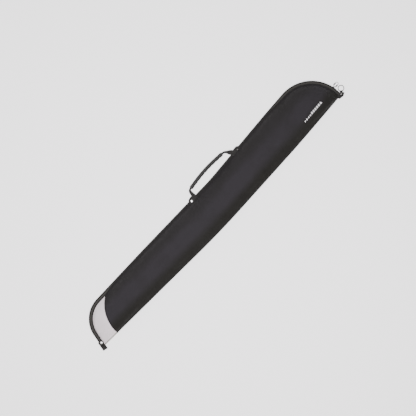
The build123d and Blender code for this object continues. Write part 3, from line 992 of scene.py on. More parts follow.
# ---- the light guard at the tail ----
def clipped_patch(points, normals, keep):
    """The part of a grid where keep is above 0, cut along keep = 0.

    Returns points, normals, faces and the cut line from one end to the other."""
    nu, nv = keep.shape
    verts, norms, index, faces, cut_links = [], [], {}, [], []

    def corner(i, j):
        key = (i, j)
        if key not in index:
            index[key] = len(verts)
            verts.append(points[i, j])
            norms.append(normals[i, j])
        return index[key]

    def crossing(a, b):
        key = (min(a, b), max(a, b))
        if key not in index:
            share = keep[a] / (keep[a] - keep[b])
            index[key] = len(verts)
            verts.append(points[a] + (points[b] - points[a]) * share)
            norms.append(normals[a] + (normals[b] - normals[a]) * share)
        return index[key]

    for i in range(nu - 1):
        for j in range(nv - 1):
            loop = ((i, j), (i + 1, j), (i + 1, j + 1), (i, j + 1))
            face, cuts = [], []
            for a, b in zip(loop, loop[1:] + loop[:1]):
                if keep[a] > 0:
                    face.append(corner(*a))
                if (keep[a] > 0) != (keep[b] > 0):
                    c = crossing(a, b)
                    face.append(c)
                    cuts.append(c)
            if len(face) > 2:
                faces.append(face)
                if len(cuts) == 2:
                    cut_links.append(cuts)
    return np.array(verts), unit(np.array(norms)), faces, ordered_line(cut_links)


def ordered_line(links):
    """Chains pairs of linked indices into the longest line."""
    near = {}
    for a, b in links:
        near.setdefault(a, []).append(b)
        near.setdefault(b, []).append(a)
    best, seen = [], set()
    for start in [k for k in near if len(near[k]) == 1]:
        if start in seen:
            continue
        line, previous = [start], None
        while True:
            seen.add(line[-1])
            following = [k for k in near[line[-1]] if k != previous and k not in seen]
            if not following:
                break
            previous = line[-1]
            line.append(following[0])
        if len(line) > len(best):
            best = line
    return best


def raised_patch(name, verts, norms, faces, thick, sink, material):
    """A closed piece of cloth over a patch: thick above it, sink below."""
    count = len(verts)
    edges = dict.fromkeys((a, b) for f in faces for a, b in zip(f, f[1:] + f[:1]))
    made = [tuple(f) for f in faces] + [tuple(k + count for k in reversed(f)) for f in faces]
    for a, b in edges:
        if (b, a) not in edges:
            made.append((b, a, a + count, b + count))
    solid = np.concatenate((verts + norms * thick, verts - norms * sink))
    return sharpen(tidy_normals(make_object(name, solid, made, material)))


def guard_share(plan):
    """Above 0 behind the guard's curved front seam."""
    distance = np.hypot(plan[:, :, 0] - GUARD_CENTRE[0], plan[:, :, 1] - GUARD_CENTRE[1])
    return np.minimum(distance - GUARD_RADIUS, GUARD_CENTRE[0] - plan[:, :, 0])


GUARD_LIFT = 0.7 * MM
GUARD_FRONT = -0.55               # X ahead of all of the guard
GUARD_SEAM = 4.2 * MM             # from the binding to the row of stitches behind it
BINDING_RADIUS = 1.7 * MM
BINDING_SIDES = 10


def clear_of_tape(plan):
    """Above 0 where a plan point is inside the edge tape's inner border."""
    return edge_distance(plan) - (HEM_TAIL - 2.2 * MM)


def guard_piece(name, patch, thick, sink, body, replaces):
    piece = raised_patch(name, *patch, thick, sink, VINYL)
    # painted shade along the guard's fold edge
    add_attribute(piece, "painted_fold_shade", share_between(from_fold(piece), PAINTED_SHADE_SPAN))
    settle(piece, body, replaces)


def guard():
    last = int(np.searchsorted(FRONT[:, -1, 0], GUARD_FRONT))
    points, normals = FRONT[:last], FRONT_NORMALS[:last]
    plan = points[:, :, :2]
    behind = guard_share(plan)
    *patch, _ = clipped_patch(points, normals, np.minimum(behind, clear_of_tape(plan)))
    replaces = ("tail_guard_front", "tail_guard_fold")
    guard_piece("guard_front", patch, GUARD_LIFT, 0.1 * MM, None, replaces)

    verts, norms, _, cut = clipped_patch(points, normals, behind)
    inside = clear_of_tape(verts[cut][:, :2]) > -1.5 * MM
    cut = [k for k, keep in zip(cut, inside) if keep]
    line, up = smooth_line(verts[cut], 2), smooth_line(norms[cut], 2)
    binding = tube(
        "guard_binding", line + up * 0.6 * MM, BINDING_RADIUS, BINDING_SIDES, BINDING, up=up, flat=0.75
    )
    round_it = np.arange(BINDING_SIDES) * MM
    uv = np.broadcast_arrays(running_length(line)[:, None], round_it[None, :])
    add_uv(binding, np.stack(uv, 2).reshape(-1, 2))
    settle(binding, replaces=("guard_binding_front", "guard_binding_fold"))
    moved = line[:, :2] + unit(line[:, :2] - GUARD_CENTRE) * GUARD_SEAM
    seated = [drop(*q) for q, n in zip(moved, up) if n[2] > 0.55]
    stitches = stitch_run(
        "guard_stitch", [q + n * GUARD_LIFT for q, n in seated], GREY_THREAD,
        (4.2 * MM, 3.0 * MM, 0.42 * MM), [n for _, n in seated],
    )
    settle(stitches)

    outer = back_outside()[:last]
    down = np.broadcast_to(-np.array(UP), outer.shape)
    *patch, _ = clipped_patch(outer, down, guard_share(outer[:, :, :2]))
    guard_piece("guard_back", patch, 0.05 * MM, 0.4 * MM, "root", ("tail_guard_back",))


def smooth_line(values, rounds):
    values = np.array(values, float)
    for _ in range(rounds):
        values[1:-1] = (values[:-2] + 2 * values[1:-1] + values[2:]) / 4
    return values


# ---- edge tapes and zipper ----
TAPE_GAP = 0.5 * MM               # between the tape and the zipped edge, and inside the hem
TAPE_TAPER = 2.2 * MM             # the tape draws in beside the hanging ring
TAPER_START = position_of(0.8609, -0.040)
TAPE_UNDER = 10.7 * MM            # heights of the front tape's underside,
TAPE_ROLL = 10.9 * MM             # of the foot of its rolled borders
TAPE_BAND = 11.25 * MM            # and of the edge of the band between them
TAPE_STITCH = 11.35 * MM
TAPE_STITCH_INSET = 4.3 * MM
UNDER_TAPE = (2.0 * MM, 3.0 * MM)
ZIPPER_TAPE = (16 * MM, 1.6 * MM)  # insets of its two borders
ROLL_STEPS = 6
BAND_STEPS = 8


def tape_width(s):
    return float(hem_width(np.array(s))) - TAPE_GAP


def front_tape_section(s):
    """Piping, a crowned band, piping; the outline runs over the top and back under."""
    outer = TAPE_GAP + TAPE_TAPER * float(smooth((s - TAPER_START) / (18 * MM)))
    inner = tape_width(s)
    wide = inner - outer
    roll = min(2.0 * MM, 0.2 * wide)
    outline = []

    def add_roll(middle, rise, first_share):
        for k in range(ROLL_STEPS + 1):
            a = math.pi * (1 - k / ROLL_STEPS)
            height = TAPE_ROLL + rise * math.sin(a) ** 0.8
            outline.append((middle + roll * math.cos(a), height, first_share + 0.14 * k / ROLL_STEPS))

    add_roll(outer + roll, 1.5 * MM, 0.02)
    for k in range(1, BAND_STEPS):
        t = k / BAND_STEPS
        height = TAPE_BAND + 0.55 * MM * math.sin(math.pi * t)
        outline.append((outer + 2 * roll + (wide - 4 * roll) * t, height, 0.26 + 0.48 * t))
    add_roll(inner - roll, 1.3 * MM, 0.84)
    outline += [(inner, TAPE_UNDER, 0.98), (outer, TAPE_UNDER, 0.02)]
    return tuple(zip(*outline))


def tapes():
    start, end = position_of(-0.8705, -0.0700), position_of(0.8595, -0.074)
    tape = edge_strip("edge_tape", start, end, front_tape_section, EDGE_TAPE)
    settle(sharpen(tape, 70), replaces=("edge_tape_front", "edge_tape_tail"))
    for name, low, high, body, node in (
        ("zipper_tape_upper", 8.0 * MM, 8.75 * MM, None, "zipper_tape_front"),
        ("zipper_tape_lower", 3.05 * MM, 3.8 * MM, "root", "zipper_tape_back"),
    ):
        section = flat_section(*ZIPPER_TAPE, low, high)
        strip = edge_strip(
            name, HINGE_TAIL + MM, HINGE_TIP - MM, lambda s, fixed=section: fixed, TAPE_CLOTH
        )
        settle(sharpen(strip), body, (node,))
    strip = edge_strip(
        "edge_tape_under", HINGE_TAIL, HINGE_TIP,
        lambda s: flat_section(tape_width(s), TAPE_GAP, *UNDER_TAPE, 0.45 * MM), EDGE_TAPE,
    )
    settle(sharpen(strip), "root", ("edge_tape_back",))
    s = np.arange(start + 4 * MM, end - 4 * MM, 4 * MM)
    points, _, inward = edge_at(s)
    widths = np.array([tape_width(k) for k in s])
    for name, inset in (
        ("edge_stitch_outer", np.full(len(s), TAPE_STITCH_INSET)),
        ("edge_stitch_inner", widths - TAPE_STITCH_INSET),
    ):
        sew(name, three(points + inward * inset[:, None], TAPE_STITCH), None, 4.0, 3.0, 0.42)


COIL_PITCH = 2.4 * MM
COIL_TURN = 10
COIL_WIRE = 0.42 * MM
COIL_INSETS = (0.2 * MM, 3.0 * MM)


def coil(name, heights, phase, node, body):
    """A helical zipper coil along the zipped edge, between two heights."""
    start, end = ZIP_TAIL + MM, ZIP_TIP - MM
    turns = int((end - start) / COIL_PITCH)
    t = np.arange(turns * COIL_TURN + 1) / COIL_TURN
    points, _, inward = edge_at(start + t * COIL_PITCH)
    angle = 2 * math.pi * (t + phase)

    def between(limits, wave):
        return sum(limits) / 2 + ((limits[1] - limits[0]) / 2 - COIL_WIRE) * wave

    plan = points + inward * between(COIL_INSETS, np.cos(angle))[:, None]
    line = three(plan, between(heights, np.sin(angle)))
    settle(tube(name, line, COIL_WIRE, 5, COIL), body, (node,))


def zipper():
    coil("coil_upper", (5.7 * MM, 8.8 * MM), 0.0, "zipper_coil_front", None)
    coil("coil_lower", (3.0 * MM, 6.1 * MM), 0.5, "zipper_coil_back", "root")


# ---- handle ----
FOOT_LEFT = (-0.017, 0.1032)
FOOT_RIGHT = (0.272, 0.1141)
HANDLE_LEFT = (-0.012, 0.140)
HANDLE_TOP = (0.112, 0.156)
HANDLE_RIGHT = (0.246, 0.147)
HANDLE_Z = 9.9 * MM
HANDLE_BOW = 0.700                # radius of the handle's long bow
HANDLE_BEND = 9 * MM              # and of the bends at its two ends
HANDLE_STEP = 0.5 * MM
GRIP_END = 10 * MM
GRIP_RADIUS = 9.8 * MM
GRIP_PITCH = 26 * MM
GRIP_SIDES = 28
TAB_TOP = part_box("handle_tab_left")[1].z
RIVETS = {"left": (-0.042, 0.095), "right": (0.303, 0.107), "tail": (-0.8655, -0.065)}
CAP_RADIUS = 7.5 * MM
CAP_HEIGHT = 3 * MM
SEAT_RADIUS = 9.6 * MM
TAB_ROUND = 16 * MM
# half of the section of a strap with rounded edges, as shares; the other half is its opposite
HALF_RIBBON = np.array((
    (-1, 0), (-0.96, 0.75), (-0.85, 1), (-0.4, 1), (0, 1), (0.4, 1), (0.85, 1), (0.96, 0.75),
))


def ribbon(name, line, wide, half_width, half_thick, material):
    """A flat strap with rounded edges: its middle line, unit width directions and half sizes."""
    along, _, _ = frames_along(line, wide)
    wide = unit(wide - along * (wide * along).sum(1)[:, None])
    up = np.cross(along, wide)
    a, b = np.concatenate((HALF_RIBBON, -HALF_RIBBON)).T
    across = np.broadcast_to(half_width, (len(line),))[:, None] * a
    above = np.broadcast_to(half_thick, (len(line),))[:, None] * b
    sections = line[:, None] + wide[:, None] * across[:, :, None] + up[:, None] * above[:, :, None]
    obj = swept(name, sections, material)
    lengths = np.broadcast_to(running_length(line)[:, None], across.shape)
    add_uv(obj, np.stack((lengths.ravel(), across.ravel()), 1))
    return sharpen(obj, 60)


def spline(points, count):
    """A smooth line through a few points, each a tuple of any length."""
    points = np.asarray(points, float)
    before = 2 * points[0] - points[1]
    after = 2 * points[-1] - points[-2]
    points = np.concatenate((before[None], points, after[None]))
    out = []
    pieces = len(points) - 3
    for t in np.linspace(0, pieces, count):
        k = min(int(t), pieces - 1)
        f = t - k
        a, b, c, d = points[k:k + 4]
        out.append(0.5 * (
            2 * b + (c - a) * f + (2 * a - 5 * b + 4 * c - d) * f * f
            + (3 * b - a - 3 * c + d) * f ** 3
        ))
    return np.array(out)


def handle_line():
    """Plan points along the middle of the handle, and how far along each is."""
    corners = (FOOT_LEFT, HANDLE_LEFT, HANDLE_TOP, HANDLE_RIGHT, FOOT_RIGHT)
    path = rounded_path(corners, (HANDLE_BEND, HANDLE_BOW, HANDLE_BEND), HANDLE_STEP)
    s = np.arange(0, running_length(path)[-1], HANDLE_STEP)
    return resample(path, s)[0], s


def grip_radii(s, first, last):
    """Half sizes of the moulded grip: rounded segments with narrow grooves between them."""
    t = np.clip((s - first) / (last - first), 0, 1)
    count = round((last - first) / GRIP_PITCH)
    wave = np.abs(np.sin(math.pi * t * count))
    swell = 0.80 + 0.20 * np.minimum(1, wave * 1.6) ** 0.6
    ends = np.sqrt(np.clip(np.minimum(s - first, last - s) / (5 * MM), 0.02, 1))
    return swell, ends


def grip():
    line, s = handle_line()
    corners = [s[np.hypot(*(line - c).T).argmin()] for c in (HANDLE_LEFT, HANDLE_RIGHT)]
    first, last = corners[0] + GRIP_END, corners[1] - GRIP_END
    keep = (s >= first) & (s <= last)
    middle = three(line[keep], HANDLE_Z)
    swell, ends = grip_radii(s[keep], first, last)
    _, across, above = frames_along(middle, UP)
    a = steps_round(GRIP_SIDES)
    palm = np.where(np.cos(a) < 0, swell[:, None], 1 - (1 - swell[:, None]) * 0.45)
    radius = GRIP_RADIUS * palm * ends[:, None] * (1 - 0.10 * np.abs(np.sin(2 * a)))
    offset = across[:, None] * np.cos(a)[:, None] + above[:, None] * np.sin(a)[:, None] * 0.98
    obj = swept("moulded_grip", middle[:, None] + offset * radius[:, :, None], RUBBER)
    settle(sharpen(obj, 50), "handle", ("handle_grip",))
    crest = middle + above * (GRIP_RADIUS * swell * ends * 0.97)[:, None]
    for name, side in (("grip_rib_a", -2.2 * MM), ("grip_rib_b", 2.2 * MM)):
        rib = tube(name, (crest + across * side)[14:-14], 0.55 * MM, 6, RUBBER)
        settle(rib, "handle")


def strap_leg(name, keys, nodes=()):
    """A webbing leg from under its tab, over the hem, up into the grip.

    keys: x, y, z, width direction x, y, z, half width, half thickness."""
    k = spline(keys, 90)
    line, wide, half_width, half_thick = k[:, :3], k[:, 3:6], k[:, 6], k[:, 7]

    def finish(obj):
        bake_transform(obj)

    obj = ribbon(name, line, wide, half_width, half_thick, WEBBING)
    finish(obj)
    if nodes:
        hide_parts(*nodes)
    normals = unit(np.cross(frames_along(line, wide)[0], wide))
    normals *= np.sign(normals[:, 2:3] + 1e-9)
    for side, share in (("a", -0.72), ("b", 0.72)):
        edge = line + unit(wide) * (half_width * share)[:, None] + normals * half_thick[:, None]
        finish(stitch_run(
            name + "_stitch_" + side, edge[8:64], THREAD, (3.2 * MM, 2.2 * MM, 0.32 * MM),
            normals[8:64],
        ))


def handle_legs():
    swing = JOINTS["handle_swing"]
    outward = np.array((-swing["axis"][1], swing["axis"][0], 0.0))
    outward *= math.copysign(1, outward[1])
    t = 1.1 * MM
    left = (
        (-0.0200, 0.0885, TAB_TOP - 0.6 * MM, 1.0, 0.10, 0.0, 9.5 * MM, t),
        (-0.0185, 0.0960, TAB_TOP + 0.3 * MM, 1.0, 0.08, 0.0, 10.5 * MM, t),
        (-0.0165, 0.1045, 12.6 * MM, 1.0, 0.05, 0.0, 11.0 * MM, t),
        (-0.0155, 0.1125, 10.4 * MM, 1.0, 0.02, 0.0, 10.0 * MM, 1.25 * t),
        (-0.0145, 0.1225, 9.5 * MM, 1.0, -0.05, 0.0, 8.4 * MM, 1.5 * t),
        (-0.0125, 0.1325, 9.4 * MM, 1.0, -0.25, 0.0, 7.2 * MM, 1.8 * t),
        (-0.0065, 0.1400, 9.7 * MM, 0.7, -0.7, 0.0, 5.4 * MM, 2.2 * t),
        (0.0045, 0.1425, HANDLE_Z, 0.15, -1.0, 0.0, 5.0 * MM, 2.6 * t),
    )
    strap_leg("strap_left", left, ("handle_strap",))
    right = (
        (0.2765, 0.0985, TAB_TOP - 0.6 * MM, 1.0, -0.10, 0.0, 11.0 * MM, t),
        (0.2745, 0.1060, TAB_TOP + 0.3 * MM, 1.0, -0.05, 0.0, 13.0 * MM, t),
        (0.2725, 0.1135, 13.0 * MM, 1.0, 0.05, 0.0, 13.0 * MM, t),
        (0.2685, 0.1200, 11.4 * MM, 0.95, 0.30, 0.10, 12.5 * MM, 1.1 * t),
        (0.2620, 0.1275, 10.2 * MM, 0.85, 0.45, 0.35, 11.0 * MM, 1.2 * t),
        (0.2550, 0.1365, 9.7 * MM, 0.65, 0.45, 0.75, 8.2 * MM, 1.4 * t),
        (0.2465, 0.1445, 9.8 * MM, 0.35, 0.6, 0.75, 6.4 * MM, 1.8 * t),
        (0.2320, 0.1487, HANDLE_Z, 0.15, 1.0, 0.3, 5.0 * MM, 2.4 * t),
    )
    strap_leg("strap_right", right)


def hull_outline(centre, radius, corners):
    """Outline of a rounded end joined to corner points: the convex hull, with rounded corners."""
    points = [*circle(centre, radius, 40)]
    for corner in corners:
        points += [*circle(corner, 2.5 * MM, 16)]
    points = sorted({(round(float(x), 7), round(float(y), 7)) for x, y in points})

    def half(items):
        out = []
        for p in items:
            while len(out) > 1 and (
                (out[-1][0] - out[-2][0]) * (p[1] - out[-2][1])
                - (out[-1][1] - out[-2][1]) * (p[0] - out[-2][0])
            ) <= 0:
                out.pop()
            out.append(p)
        return out[:-1]

    hull = closed(np.array(half(points) + half(points[::-1])))
    return resample(hull, np.linspace(0, running_length(hull)[-1], 73)[:-1])[0]


# share of the outline and of the height at each ring of a soft patch
PAD_RINGS = (
    (1.0, 0.0), (1.0, 0.55), (0.975, 0.9), (0.93, 1.0), (0.7, 1.0), (0.4, 1.0), (0.12, 1.0),
)


def pad_piece(name, outline, base, thick, crown):
    """A soft webbing patch over an outline: rings shrinking to its middle, with rolled edges."""
    sections = np.array([
        three(scaled(outline, share), base + thick * rise + crown * (1 - share))
        for share, rise in PAD_RINGS
    ])
    obj = swept(name, sections, WEBBING)
    add_uv(obj, sections.reshape(-1, 3)[:, :2])
    return sharpen(obj, 40)


TAB_THICK = 1.9 * MM
CROSS_SIZE = (6.5 * MM, 4.5 * MM)
# corners of each tab beside its rivet, and the middle of its stitched cross
TABS = {
    "left": (((-0.008, 0.1005), (-0.008, 0.0865), (-0.030, 0.1115)), (-0.0265, 0.0935)),
    "right": (((0.2645, 0.1085), (0.2645, 0.0950), (0.285, 0.1190)), (0.2800, 0.1020)),
}


def tabs():
    """Webbing tabs with box stitching."""
    for side, (corners, middle) in TABS.items():
        outline = hull_outline(RIVETS[side], TAB_ROUND, corners)
        tab = pad_piece("tab_" + side, outline, TAPE_TOP + 0.1 * MM, TAB_THICK, 0.3 * MM)
        settle(tab, "front_flap", ("handle_tab_" + side,))
        line = three(closed(scaled(outline, 0.80)), TAPE_TOP + 2.15 * MM)
        sew("tab_stitch_" + side, line, "front_flap", 2.6, 1.9, 0.3)
        for letter, lean in (("a", 1), ("b", -1)):
            reach = np.array((CROSS_SIZE[0], CROSS_SIZE[1] * lean))
            ends = np.array((middle - reach, middle + reach))
            line = three(np.linspace(*ends, 12), TAPE_TOP + 2.3 * MM)
            sew("tab_cross_" + side + "_" + letter, line, "front_flap", 2.4, 1.8, 0.3)


# share of a cap's radius and of its height at each ring, from its rolled rim to its dimple
CAP_RINGS = (
    (1.0, 0.0), (1.03, 0.10), (1.0, 0.24), (0.93, 0.36), (0.84, 0.55), (0.70, 0.76),
    (0.52, 0.92), (0.34, 1.0), (0.18, 1.0), (0.07, 0.97),
)


def rivets():
    """The rivets' domed caps, each on a rolled cloth seat."""
    for side, base, material, body, nodes in (
        ("left", TAB_TOP + 0.5 * MM, STEEL, "front_flap", ("handle_rivet_caps",)),
        ("right", TAB_TOP + 0.5 * MM, DARK_NICKEL, "front_flap", ()),
        ("tail", TAPE_TOP + 0.5 * MM, STEEL, "root", ("tail_rivet_cap",)),
    ):
        cap = swept("rivet_" + side, np.array([
            three(circle(RIVETS[side], CAP_RADIUS * r, 40), base + CAP_HEIGHT * h)
            for r, h in CAP_RINGS
        ]), material)
        settle(sharpen(cap, 60), body, nodes)
        seat = three(closed(circle(RIVETS[side], SEAT_RADIUS, 40)), base - 0.1 * MM)
        washer = tube("rivet_seat_" + side, seat, 2.2 * MM, 10, BINDING, ring=True, flat=0.6)
        settle(washer, body)


# ---- tail end of the zipper, ring tab ----
STUB_SIZE = (49.5 * MM, 26 * MM)
STUB_SAG = 0.5 * MM
STUB_RIB = 3.4 * MM


def tail_end():
    """The zipper's spare end, folded in webbing, under the tail rivet: rounded in section,
    ribbed across, its ends rolled over."""
    low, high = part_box("tail_stub")
    along = unit(np.array(ZIPPED[0]) - arc_corner(TAIL_CENTRE, TAIL_RADIUS, TAIL_ANGLES))
    inward = np.array((-along[1], along[0]))
    rivet = np.array(RIVETS["tail"])
    middle = three(rivet - inward * 1.8 * MM + along * 15.5 * MM, (low.z + high.z) / 2 + 0.2 * MM)
    t = np.linspace(-0.5, 0.5, 29)
    line = middle + three(along, 0) * (t * STUB_SIZE[0])[:, None]
    lift = TAPE_TOP - high.z - 0.2 * MM
    line[:, 2] += lift * (1 - smooth((t + 0.5) / 0.55)) - STUB_SAG * (t + 0.5) ** 2
    swell = rounded_ends(t + 0.5, 0.045, 0.08)
    rib = 1 + 0.035 * np.sin(t * STUB_SIZE[0] / STUB_RIB * 2 * math.pi)
    across = three(inward, 0)
    stub = ribbon(
        "tail_stub_webbing", line, np.tile(across, (len(t), 1)),
        STUB_SIZE[1] / 2 * np.minimum(1, 0.9 + 0.1 * swell) * rib,
        (high.z - low.z + 1.6 * MM) / 2 * swell * rib, WEBBING,
    )
    settle(stub, "root", ("tail_stub",))
    for letter, reach in (("a", 27.0 * MM), ("b", 35.5 * MM)):
        place = three(rivet - inward * 2.6 * MM + along * reach, high.z + 0.95 * MM)
        line = np.linspace(place - across * 7 * MM, place + across * 7 * MM, 10)
        sew("stub_stitch_" + letter, line, "root", 2.4, 1.8, 0.32)


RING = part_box("hanging_ring")
RING_MIDDLE = np.array(((RING[0].x + RING[1].x) / 2, (RING[0].y + RING[1].y) / 2))
RING_WIRE = (RING[1].z - RING[0].z) / 2
RING_THICK = 2.0 * MM
RING_TURN = (RING[1].x - RING[0].x) / 2 - RING_WIRE
RING_Z = (RING[0].z + RING[1].z) / 2
RING_CLOCK = 228.0                # where the ring passes through its tab, degrees
LUMP = (
    (0.8300, -0.0735), (0.8395, -0.0885), (0.8595, -0.0912), (0.8735, -0.0845), (0.8665, -0.0735),
)
LUMP_SPLIT = 6.6 * MM             # height between the lump's two folds
LUMP_TOP = 13.4 * MM
LUMP_ROUND = ((0.851, -0.079), 5 * MM)
EYELET = (0.8605, -0.0790)
EYELET_RADIUS = 2.6 * MM
LOOP_REACH = 15 * MM


def ring_tab():
    """Two folds of webbing round the tip's corner, a small eyelet, and the loop round the ring."""
    outline = hull_outline(*LUMP_ROUND, LUMP)
    for name, bottom, top, share, nodes in (
        ("ring_patch_under", 0.4 * MM, LUMP_SPLIT, 0.965, ()),
        ("ring_patch", LUMP_SPLIT + 0.2 * MM, LUMP_TOP, 1.0, ("ring_tab_patch",)),
    ):
        fold = pad_piece(name, scaled(outline, share), bottom, top - bottom, 0.8 * MM)
        settle(fold, "root", nodes)
    eyelet = three(closed(circle(EYELET, EYELET_RADIUS, 32)), LUMP_TOP + 0.75 * MM)
    settle(tube("ring_patch_eyelet", eyelet, 0.8 * MM, 8, STEEL, ring=True), "root")
    line = three(closed(scaled(outline, 0.84)), LUMP_TOP + 0.22 * MM)
    sew("ring_patch_stitch", line, "root", 2.8, 2.0, 0.32)

    outward = polar((0, 0), 1, RING_CLOCK)
    middle = three(RING_MIDDLE + RING_TURN * outward, RING_Z)
    outward = three(outward, 0)
    wrap = RING_THICK + 0.9 * MM
    legs = ((LOOP_REACH, 1.1 * MM), (LOOP_REACH * 0.6, 1.2 * MM), (LOOP_REACH * 0.35, 1.8 * MM))
    path = list(legs)
    path += [(wrap * math.cos(a), wrap * math.sin(a)) for a in np.radians(np.linspace(60, 300, 17))]
    path += [(reach, -height) for reach, height in legs[::-1]]
    line = np.array([middle + outward * reach + np.array(UP) * height for reach, height in path])
    tangent = np.array((-outward[1], outward[0], 0.0))
    loop = ribbon("ring_loop", spline(line, 70), np.tile(tangent, (70, 1)), 6.5 * MM, 0.7 * MM, WEBBING)
    settle(loop, "root", ("ring_tab_loop",))
    ring = three(closed(circle(RING_MIDDLE, RING_TURN, 96)), RING_Z)
    wire = tube("split_ring", ring, RING_THICK, 18, WIRE_STEEL, ring=True)
    settle(wire, frame["nodes"]["hanging_ring"]["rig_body"], ("hanging_ring",))


# ---- printed mark ----
MARK_CENTRE = (0.687, -0.0378)
MARK_SLOPE = 3.0                  # degrees
BAR_COUNT = 9
BAR_PITCH = 13 * MM
BAR_SIZE = (8.4 * MM, 10.5 * MM)
BAR_LEAN = 3 * MM
SMALL_BARS = 4
SMALL_SIZE = (0.85, 0.66)         # of a small bar, as shares of a full one
TRIANGLE = ((0, -5 * MM), (14 * MM, -5 * MM), (7.2 * MM, 8 * MM), (6.8 * MM, 8 * MM))
INK_FACES = (0.28 * MM, -0.1 * MM)
INK_GRID = 6


def printed_mark():
    """Leaning bars and a small triangle of white ink, laid on the front."""
    shapes = []
    width, height = BAR_SIZE
    for i in range(BAR_COUNT):
        x = (i - BAR_COUNT / 2) * BAR_PITCH
        share = (1, 1) if i >= SMALL_BARS else SMALL_SIZE
        wide, tall = width * share[0], height * share[1]
        low, lean = -height / 2, BAR_LEAN * share[1]
        shapes.append(((x, low), (x + wide, low), (x + wide + lean, low + tall), (x + lean, low + tall)))
    shapes.append(np.array(TRIANGLE) + (BAR_COUNT / 2 * BAR_PITCH, 0))
    a = math.radians(MARK_SLOPE)
    turned = np.array(((math.cos(a), math.sin(a)), (-math.sin(a), math.cos(a))))
    step = np.linspace(0, 1, INK_GRID)
    u, v = step[:, None, None], step[None, :, None]
    verts, faces = [], []
    for c in np.array(shapes):
        plan = (c[0] * (1 - u) + c[1] * u) * (1 - v) + (c[3] * (1 - u) + c[2] * u) * v
        seated = [drop(*q) for q in (plan @ turned + MARK_CENTRE).reshape(-1, 2)]
        faces += closed_faces(INK_GRID, INK_GRID, len(verts))
        verts += [q + n * lift for lift in INK_FACES for q, n in seated]
    obj = tidy_normals(make_object("mark_ink", verts, faces, PRINT))
    settle(sharpen(obj, 40), replaces=("printed_mark",))


# ---- slider, pull and end stops ----
SLIDER_ANGLE = 10.2               # its place on the tip's arc, degrees
SLIDER_HALF_LENGTH = 5.5 * MM
SLIDER_WALL = (0.6 * MM, 2.1 * MM)
PULL_Y = -27.0 * MM
PULL_Z = 5.9 * MM
PULL_BAR_X = 863.4 * MM
PULL_HALF_WIDTH = 6.9 * MM


def cut_plate(name, origin, axes, outline, depth, bevel, material):
    """A plate cut to an outline in two of its axes, between two depths along the third."""
    outline = np.asarray(outline, float)
    ex, ey, ez = (np.asarray(a, float) for a in axes)
    middle = outline.mean(0)
    reach = np.linalg.norm(outline - middle, axis=1)[:, None]
    rings = []
    for z, inset in (
        (depth[0], 1.0), (depth[0] + 0.3 * bevel, 0.3), (depth[0] + bevel, 0.0),
        (depth[1] - bevel, 0.0), (depth[1] - 0.3 * bevel, 0.3), (depth[1], 1.0),
    ):
        ring = middle + (outline - middle) * (1 - inset * bevel / reach)
        rings.append(origin + ring[:, :1] * ex + ring[:, 1:] * ey + z * ez)
    return sharpen(swept(name, np.array(rings), material), 45)


def shield_outline(half_long, half_high, waist):
    """A slider's plate: rounded ends, drawn in a little at the middle."""
    a = steps_round(56)
    x = half_long * np.sign(np.cos(a)) * np.abs(np.cos(a)) ** 0.55
    y = half_high * np.sign(np.sin(a)) * np.abs(np.sin(a)) ** 0.62
    return np.stack((x, y * (1 - waist * np.cos(math.pi * x / half_long / 2) ** 2)), 1)


# name, share of the slider's length, half height, waist, depths, bevel and CAD node of each plate
SLIDER_PLATES = (
    ("slider_shield", 1.0, 3.1 * MM, 0.16, SLIDER_WALL, 0.45 * MM, ("zipper_slider",)),
    ("slider_web", 0.55, 0.2 * MM, 0.0, (-4.6 * MM, 0.9 * MM), 0.08 * MM, ()),
    ("slider_rider", 0.85, 1.5 * MM, 0.1, (-5.4 * MM, -3.9 * MM), 0.3 * MM, ()),
)
BAIL_REACH = 7.1 * MM
BAIL_HALF = 2.0 * MM


def slider():
    outward = polar((0, 0), 1, SLIDER_ANGLE)
    origin = three(TIP_CENTRE + TIP_RADIUS * outward, PULL_Z)
    out, along = three(outward, 0), np.array((-outward[1], outward[0], 0.0))
    for name, share, half_high, waist, wall, bevel, nodes in SLIDER_PLATES:
        outline = shield_outline(share * SLIDER_HALF_LENGTH, half_high, waist)
        plate = cut_plate(name, origin, (along, UP, out), outline, wall, bevel, DARK_METAL)
        settle(plate, "zip_slider", nodes)
    foot = SLIDER_WALL[1] - 0.4 * MM
    arch = rounded_path(
        ((foot, BAIL_HALF), (BAIL_REACH, BAIL_HALF), (BAIL_REACH, -BAIL_HALF), (foot, -BAIL_HALF)),
        (1.7 * MM, 1.7 * MM), 0.25 * MM,
    )
    line = np.zeros((len(arch), 3)) + (origin[0], PULL_Y, PULL_Z)
    line[:, 0] += arch[:, 0]
    line[:, 2] += arch[:, 1]
    bail = tube("slider_bail_wire", line, 0.72 * MM, 12, DARK_METAL, up=(0, 1, 0), flat=1.5)
    settle(bail, "zip_slider", ("slider_bail",))


def pull_sleeves():
    """Two dark moulded sleeves on the legs of the pull's wire loop."""
    t = np.linspace(0, 1, 25)
    swell = rounded_ends(t, 0.12, 0.05)
    waist = 1 - 0.10 * np.sin(2 * math.pi * 3 * t) ** 2
    for name, side in (("pull_sleeve_a", -1), ("pull_sleeve_b", 1)):
        y = np.full(len(t), PULL_Y + side * PULL_HALF_WIDTH)
        line = three(np.stack((PULL_BAR_X + (3.2 + 14.3 * t) * MM, y), 1), PULL_Z)
        sleeve = tube(name, line, (1.3 + 1.9 * swell * waist) * MM, 16, RUBBER)
        settle(sleeve, "zip_pull", ("pull_sleeves",) if side < 0 else ())


